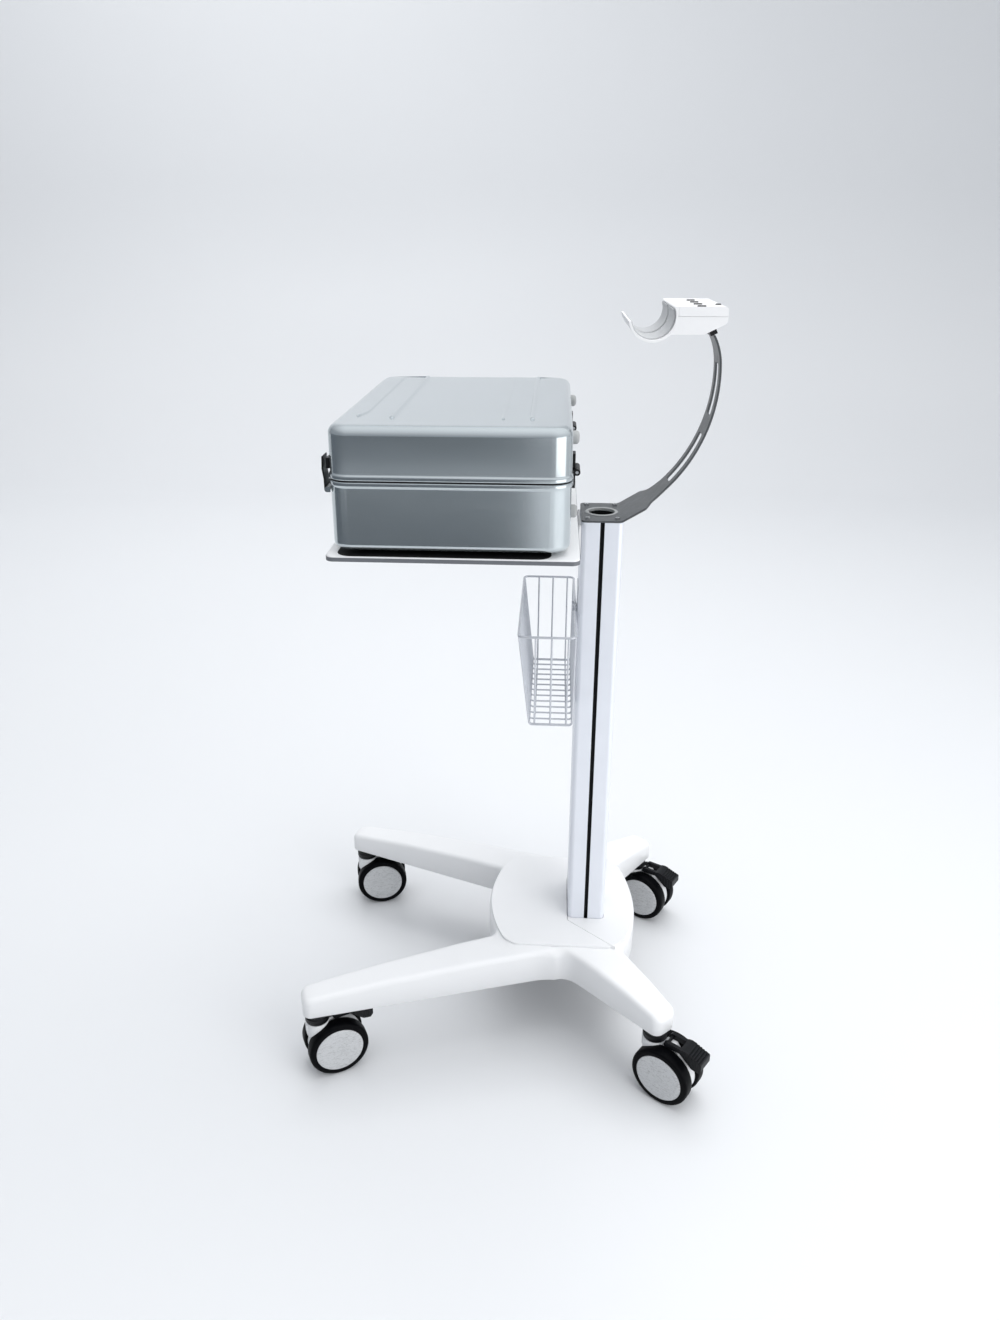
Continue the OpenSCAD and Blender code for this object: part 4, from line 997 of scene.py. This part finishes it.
def make_bumpers():
    """Round rubber bumpers on the case's rear, which also take its weight when it stands on end."""
    profile = [(0, 0), (9, 0), (9, 5.2), (8.7, 6.6), (7.4, 8.2), (5.5, 9.2), (3, 9.5), (0, 9.5)]
    turn = Matrix.Rotation(pi / 2, 4, "Y")
    for name, body, node, stands_for in (("case_bumpers", "root", "shell_feet", []),
                                         ("lid_bumper_pair", "lid", "lid_bumpers", ["lid_bumpers"])):
        high = box(node)[1]
        parts = [moved(spin_solid(profile, 40), to(high.x - 9.5, side * 155, high.z - 9) @ turn) for side in SIDES]
        piece(name, joined(*parts), body, "bumper", stands_for, sharp=45)
    foot = [(0, 0), (12.6, 0), (13.7, 0.5), (14, 1.4), (14, 6.5), (0, 6.5)]
    low = box("shell_feet")[0]
    feet = [moved(spin_solid(foot, 40), to(x, y, low.z)) for x in (low.x + 14, CASE_X1 - 45) for y in (-190, 190)]
    piece("case_feet", joined(*feet), "root", "rubber", ["shell_feet"], sharp=45)


def make_handle():
    at = joint_at("handle_pivot")
    grip_z = box("carry_handle")[0].z + 7
    back, ahead = at.x - 5, at.x + 5
    shape = arc(at.x, at.z, 6.5, 0, 180, 14) + [(back, at.z - 8), (back, grip_z), (ahead, grip_z), (ahead, at.z - 8)]
    arms = [prism([shape, circle(at.x, at.z, 3.05, 24)], "Y", y - 4, y + 4) for y in (-80, 80)]
    piece("handle_arms", joined(*arms), "carry_handle", "hardware", ["carry_handle"], bevel=0.7)
    half, count = 84, 15
    profile = [(0, -half), (5.4, -half), (6.6, -half + 0.9), (7, -half + 2.2)]
    for k in range(count):
        y = -half + 12 + k * (2 * half - 24) / (count - 1)
        profile += [(7, y - 2.2), (6.4, y - 1.2), (6.4, y + 1.2), (7, y + 2.2)]
    profile += [(7, half - 2.2), (6.6, half - 0.9), (5.4, half), (0, half)]
    piece("handle_grip", spin_solid(profile, 32), "carry_handle", "rubber", sharp=60,
          at=to(at.x, 0, grip_z) @ Matrix.Rotation(-pi / 2, 4, "X"))


def make_latches():
    """Draw latches: a bowed lever that hooks over the lid's keeper."""
    t = 2.2
    for name in ("latch_right", "latch_left"):
        x, y, z = joint_at(name + "_pivot")
        outer = [(x - 4.2, z - 2.5), (x - 4.2, z + 12.6), (x - 6.2, z + 27), (x - 5.4, box(name)[1].z)]
        lever = rounded(outer + [(u + t, v) for u, v in reversed(outer)], [0.9, 8, 8, 0.9] * 2, 4)
        barrel = [circle(x, z, 3.5, 28), circle(x, z, 1.55, 20)]
        piece(name + "_lever", prism([lever], "Y", y - 12, y + 12), name, "hardware", [name], bevel=0.5)
        piece(name + "_barrel", prism(barrel, "Y", y - 12, y + 12), name, "screw", bevel=0.3)


# ---------- controls under the lid ----------

def make_controls():
    low, high = box("keypad")
    rows, cols, pitch = 5, 13, 17.5
    sheet_top = low.z + 1.6
    parts = [prism([rounded_rect(low.x, high.x, low.y, high.y, 3, 5)], "Z", low.z, sheet_top)]
    for i in range(rows):
        for j in range(cols):
            x, y = low.x + 5.5 + i * pitch, low.y + 5.5 + j * pitch
            key = rounded_rect(x, x + pitch - 3, y, y + pitch - 3, 2.6, 4)
            parts.append(prism([key], "Z", sheet_top - 0.4, high.z))
    piece("keypad_sheet", joined(*parts), "root", "keys", ["keypad"], bevel=0.5)
    low, high = box("trackball")
    r = (high.z - low.z) / 2
    ball = [(0, -r)] + [(r * sin(a), -r * cos(a)) for a in np.linspace(0.06, pi - 0.06, 40)] + [(0, r)]
    piece("trackball_sphere", spin_solid(ball, 64), "trackball", "control", ["trackball"], at=to(*(low + high) / 2))
    low, high = box("gain_knob")
    at = joint_at("gain_turn")
    ribs, steps = 18, 144
    outline = [(at.x + (13.7 + 0.3 * cos(ribs * a)) * cos(a), at.y + (13.7 + 0.3 * cos(ribs * a)) * sin(a))
               for a in (2 * pi * k / steps for k in range(steps))]
    parts = [prism([outline], "Z", high.z - 10, high.z), prism([circle(at.x, at.y, 3, 24)], "Z", low.z, high.z - 9)]
    piece("gain_dial", joined(*parts), "gain_knob", "control", ["gain_knob"], bevel=0.8, segments=3)
    for name, finish in (("freeze_key", "blue"), ("power_button", "green")):
        low, high = box(name)
        flange, h = (high.x - low.x) / 2, high.z - low.z
        r = flange - 2
        profile = [(0, 0), (flange, 0), (flange, 2), (r, 2), (r, h - 1.2), (r - 0.4, h - 0.4), (r - 1.2, h),
                   (r * 0.6, h - 0.35), (0, h - 0.6)]
        piece(name + "_cap", spin_solid(profile, 48), name, finish, [name], sharp=40,
              at=to((low.x + high.x) / 2, (low.y + high.y) / 2, low.z))


# ---------- casters ----------

TREAD_R = 50.0
CAP_R = 39.5
TYRE_IN, TYRE_OUT = 9.0, 31.0
AXLE_Z = joint_at("wheels_rl_roll").z
TRAIL = (joint_at("wheels_rl_roll") - joint_at("swivel_rl_turn")).xy.length
PEDAL_X, PEDAL_Z = TRAIL + 1, joint_at("brake_fr_press").z


def wheel_side(part, side):
    """Puts a shape turned round Z onto the axle, facing out on one side."""
    return moved(part, to(TRAIL, 0, AXLE_Z) @ Matrix.Rotation(-side * pi / 2, 4, "X"))


def make_caster(name):
    """One caster, in axes whose X runs back from the stem to the axle and whose Y runs along the axle."""
    stem, axle = joint_at("swivel_%s_turn" % name), joint_at("wheels_%s_roll" % name)
    place = to(stem.x, stem.y, 0) @ Matrix.Rotation(atan2(axle.y - stem.y, axle.x - stem.x), 4, "Z")
    w0, w1 = TYRE_IN, TYRE_OUT
    tread = [(42, w0), (46.5, w0), (48.4, w0 + 0.7), (49.5, w0 + 2.2), (TREAD_R, w0 + 4.6), (TREAD_R, w1 - 5.6),
             (49.6, w1 - 3.4), (48.7, w1 - 1.6), (47.2, w1 - 0.5), (45.4, w1), (41.4, w1), (CAP_R + 0.25, w1 - 0.5),
             (CAP_R + 0.2, w1 - 2.5), (42, w1 - 3)]
    cap = [(0, w1 - 8), (41, w1 - 8), (41.5, w1 - 3.4), (CAP_R, w1 - 3), (CAP_R, w1 - 0.3), (CAP_R - 0.5, w1 + 0.35),
           (CAP_R - 1.6, w1 + 0.6), (30, w1 + 0.75), (12, w1 + 0.8), (6.2, w1 + 0.8), (5.9, w1 + 0.45),
           (5.2, w1 + 0.45), (4.9, w1 + 0.8), (0, w1 + 0.8)]
    core = [(41.4, w0 + 0.6), (41.4, w1 - 8.2), (37.5, w1 - 8.2), (36.5, w0 + 1.2), (37.5, w0 + 0.6)]
    hub = [(4.1, w0 + 0.2), (11, w0 + 0.2), (12, w0 + 1.2), (12, w1 - 8.1), (4.1, w1 - 8.1)]
    spoke = block((10, -1.5, w0 + 1.5), (38, 1.5, w1 - 8))
    inside = [spin_solid(cap, 96), lathe(core, 96), lathe(hub, 48)]
    inside += [moved(spoke, Matrix.Rotation(k * pi / 3, 4, "Z")) for k in range(6)]
    wheels = [wheel_side(lathe(tread, 96), side) for side in SIDES]
    caps = [wheel_side(joined(*inside), side) for side in SIDES]
    caps.append(wheel_side(spin_solid([(0, -w1 + 7), (4, -w1 + 7), (4, w1 - 7), (0, w1 - 7)], 24), 1))
    body = "wheels_" + name
    piece("tyre_pair_" + name, joined(*wheels), body, "tyre", ["tyres_" + name], sharp=50, at=place)
    piece("wheel_caps_" + name, joined(*caps), body, "cap", ["wheel_cores_" + name], sharp=35, at=place)
    make_housing(name, place)
    make_pedal(name, place)


def make_housing(name, place):
    """The moulding between the wheels, with its neck round the stem."""
    web_r, ring_z = 45.0, 100.8
    start = degrees(asin((20 - AXLE_Z) / web_r))
    top = [(PEDAL_X + 9, PEDAL_Z - 4), (PEDAL_X - 8, PEDAL_Z - 4), (19.5, ring_z), (-19.5, ring_z), (-19.5, 78)]
    outline = arc(TRAIL, AXLE_Z, web_r, start, 62, 26) + bent(top, 4, 5)
    outline += arc(TRAIL, AXLE_Z, web_r, 152, 180 - start, 12)
    web = prism([outline, circle(TRAIL, AXLE_Z, 4.05, 24)], "Y", -7.4, 7.4)
    piece("housing_web_" + name, web, "swivel_" + name, "housing", ["caster_housing_" + name], sharp=40,
          bevel=1.4, segments=3, at=place)
    neck = [(5.6, 72), (17.5, 72), (19.2, 74.5), (19.5, 78), (19.5, ring_z - 1.2), (18.6, ring_z - 0.3),
            (5.6, ring_z - 0.3)]
    piece("housing_neck_" + name, lathe(neck, 64), "swivel_" + name, "housing", sharp=45, at=place)


def make_pedal(name, place):
    """Brake pedal: a frame round the housing's top, a block over the wheels and a ribbed toe."""
    width, z = 15.0, PEDAL_Z
    rail = [arc(PEDAL_X, z, 5, 90, 270, 10) + [(54, z - 3.5), (54, z + 5)], circle(PEDAL_X, z, 2.5, 20)]
    parts = [prism(rail, "Y", -14, -8), prism(rail, "Y", 8, 14)]
    toe = bent([(52, z - 2.5), (62, z - 10.5), (74, z - 20.5), (86, z - 22), (90.5, z - 16)], 3, 5)
    for k in range(6):
        x = 90.5 - k * 4.4
        toe += [(x, z - 4.2 + k * 1.45), (x - 1.4, z - 2.2 + k * 1.5), (x - 3.0, z - 2.0 + k * 1.5)]
    parts.append(prism([toe + [(60, z + 6.6), (56, z + 6.2), (52, z + 5)]], "Y", -width, width))
    for y in (-width - 0.9, width - 0.4):
        for k in range(5):
            x = 61 + k * 6
            rib = rounded_rect(x - 1.0, x + 1.0, max(z - 8 - k * 4.8, z - 20), z + 1.5 - k * 0.9, 0.9, 3)
            parts.append(prism([rib], "Y", y, y + 1.3))
    parts.append(prism([circle(PEDAL_X, z, 2.45, 20)], "Y", -14, 14))
    piece("pedal_" + name, joined(*parts), "brake_" + name, "caster", ["brake_pedal_" + name], bevel=0.6,
          sharp=35, at=place)


def make_stems():
    """Swivel rings under the legs, with their stems."""
    top = box("caster_stems")[1].z
    ring = [(0, 72), (5.4, 72), (5.5, 101.5), (17.5, 101.5), (19.4, 102.4), (20, 104), (20, 112), (18.8, 113),
            (18.8, 115), (20, 116), (20, 121.8), (5.5, 121.8), (5.5, top), (0, top)]
    stems = [joint_at("swivel_%s_turn" % name) for name in CASTERS]
    parts = [moved(spin_solid(ring, 64), to(at.x, at.y, 0)) for at in stems]
    piece("swivel_rings", joined(*parts), "root", "caster", ["caster_stems"], sharp=40)


# ---------- the rest of the CAD nodes ----------

CARRIED = {
    "base_frame": ("steel", 0.8), "frame_screws": ("screw", 0.2), "arm_collar": ("hardware", 0.5),
    "tray_bracket": ("tray", 0.6), "basket_bracket": ("wire", 0.3), "rim_seal": ("rubber", 0.2),
    "control_deck": ("deck", 0.5), "main_board": ("board", 0.15), "power_supply": ("supply", 0.4),
    "fan_frame": ("fan", 0.3), "fan_rotor": ("fan", 0.2), "probe_socket": ("socket", 0.5),
    "mains_inlet": ("hardware", 0.3), "hinge_leaves": ("hardware", 0.5), "hinge_pins": ("screw", 0.2),
    "display_bezel": ("deck", 0.4), "lcd_panel": ("screen", 0.3), "hinge_arms": ("hardware", 0.5),
    "latch_keepers": ("hardware", 0.5), "select_key": ("grey", 0.8),
}


# ---------- stage ----------

BRIGHT_SIDE = (0.4, 0.0, 1.0)
SKY = ((0.0, (0.31, 0.33, 0.36)), (1.0, (1.02, 1.04, 1.07)))
# name, place, what it points at, width, height, watts, and whether glossy surfaces show it
LAMPS = (
    ("overhead", (0.2, 0.5, 3.6), (-0.1, 0.0, 0.0), 3.0, 3.0, 56, False),
    ("key", (1.6, -1.6, 1.9), (0.1, 0.0, 1.1), 1.6, 1.6, 17, False),
    ("right_soft", (1.9, -1.5, 0.6), (-0.05, -0.24, 0.8), 2.6, 1.0, 12, True),
    ("left_wash", (-2.0, 2.0, 4.2), (-1.4, 5.0, 2.6), 3.0, 1.6, 60, False),
)


def sheet(name, rows, material):
    """A stage sheet from rows of points, each row as long as the others."""
    n = len(rows[0])
    faces = [(k * n + i, k * n + i + 1, (k + 1) * n + i + 1, (k + 1) * n + i)
             for k in range(len(rows) - 1) for i in range(n - 1)]
    mesh = bpy.data.meshes.new(name)
    mesh.from_pydata([p for row in rows for p in row], [], faces)
    mesh.shade_smooth()
    mesh.materials.append(material)
    obj = added(name, mesh)
    return obj


def make_stage():
    """Pale floor that sweeps up into a backdrop, and a dark flag in front for the gloss to show."""
    n = Nodes("floor_paint")
    floor = n.finish(n.ramp(n.noise(0.4, 2, 0.4), (0.2, (0.76, 0.772, 0.788)), (0.8, (0.785, 0.795, 0.808))),
                     n.ramp(n.noise(1.5, 2, 0.4), (0.2, 0.29), (0.8, 0.33)))
    half, back, bend, top = 9.0, 3.6, 1.6, 7.0
    curve = [(-9.0, 0.0), (back, 0.0)]
    curve += [(back + bend * sin(a), bend - bend * cos(a)) for a in (pi / 32 * k for k in range(1, 17))]
    curve.append((back + bend, top))
    sheet("floor", [[(x, y, z) for x in (-half, half)] for y, z in curve], floor)
    n = Nodes("card_paint")
    card = n.finish(n.ramp(n.noise(2), (0.4, (0.06, 0.075, 0.09)), (0.6, (0.065, 0.08, 0.1))), 0.9)
    path = ((-0.07, -1.3), (-1.0, -1.3), (-1.5, -0.9), (-1.5, 0.1))
    flag = sheet("dark_flag", [[(x, y, z) for x, y in path] for z in (0.3, 1.02)], card)
    flag.visible_camera = flag.visible_diffuse = flag.visible_shadow = False


def make_sky():
    """Studio light from all round, brightest overhead and a little brighter on the right."""
    world = bpy.data.worlds.new("studio")
    world.use_nodes = True
    tree = world.node_tree
    place = tree.nodes.new("ShaderNodeTexCoord")
    toward = tree.nodes.new("ShaderNodeVectorMath")
    toward.operation = "DOT_PRODUCT"
    toward.inputs[1].default_value = BRIGHT_SIDE
    ramp = tree.nodes.new("ShaderNodeValToRGB")
    for end, (position, color) in zip(ramp.color_ramp.elements, SKY):
        end.position = position
        end.color = (*color, 1)
    tree.links.new(place.outputs["Generated"], toward.inputs[0])
    tree.links.new(toward.outputs["Value"], ramp.inputs["Fac"])
    tree.links.new(ramp.outputs["Color"], tree.nodes["Background"].inputs["Color"])
    bpy.context.scene.world = world


def make_lamp(name, place, target, width, height, watts, shiny):
    light = bpy.data.lights.new(name, "AREA")
    light.shape = "RECTANGLE"
    light.size = width
    light.size_y = height
    light.energy = watts
    obj = added(name, light)
    obj.location = place
    obj.rotation_euler = (Vector(target) - Vector(place)).to_track_quat("-Z", "Y").to_euler()
    obj.visible_glossy = shiny


def make_camera():
    """The camera of the reference view: its height, tilt and lens frame the whole stand."""
    data = bpy.data.cameras.new("view")
    data.sensor_fit = "VERTICAL"
    data.sensor_height = 36
    data.lens = 26.96
    data.shift_x = 0.0084
    data.shift_y = -0.0178
    camera = added("view", data)
    camera.location = (-0.07428, -1.48126, 1.30273)
    camera.rotation_euler = (pi / 2 - 0.3892, 0.0012, 0.0661)
    bpy.context.scene.camera = camera


for make in (make_camera, make_stage, make_sky):
    make()
for values in LAMPS:
    make_lamp(*values)
for make in (make_base, make_covers, make_column, make_tray, make_arm, make_grommet, make_holder, make_basket,
             make_console, make_bumpers, make_handle, make_latches, make_controls, make_stems):
    make()
for caster in CASTERS:
    make_caster(caster)
for node, (finish_name, edge_width) in CARRIED.items():
    cad_node(node, finish_name, edge_width)
bpy.context.scene.view_settings.view_transform = "Standard"
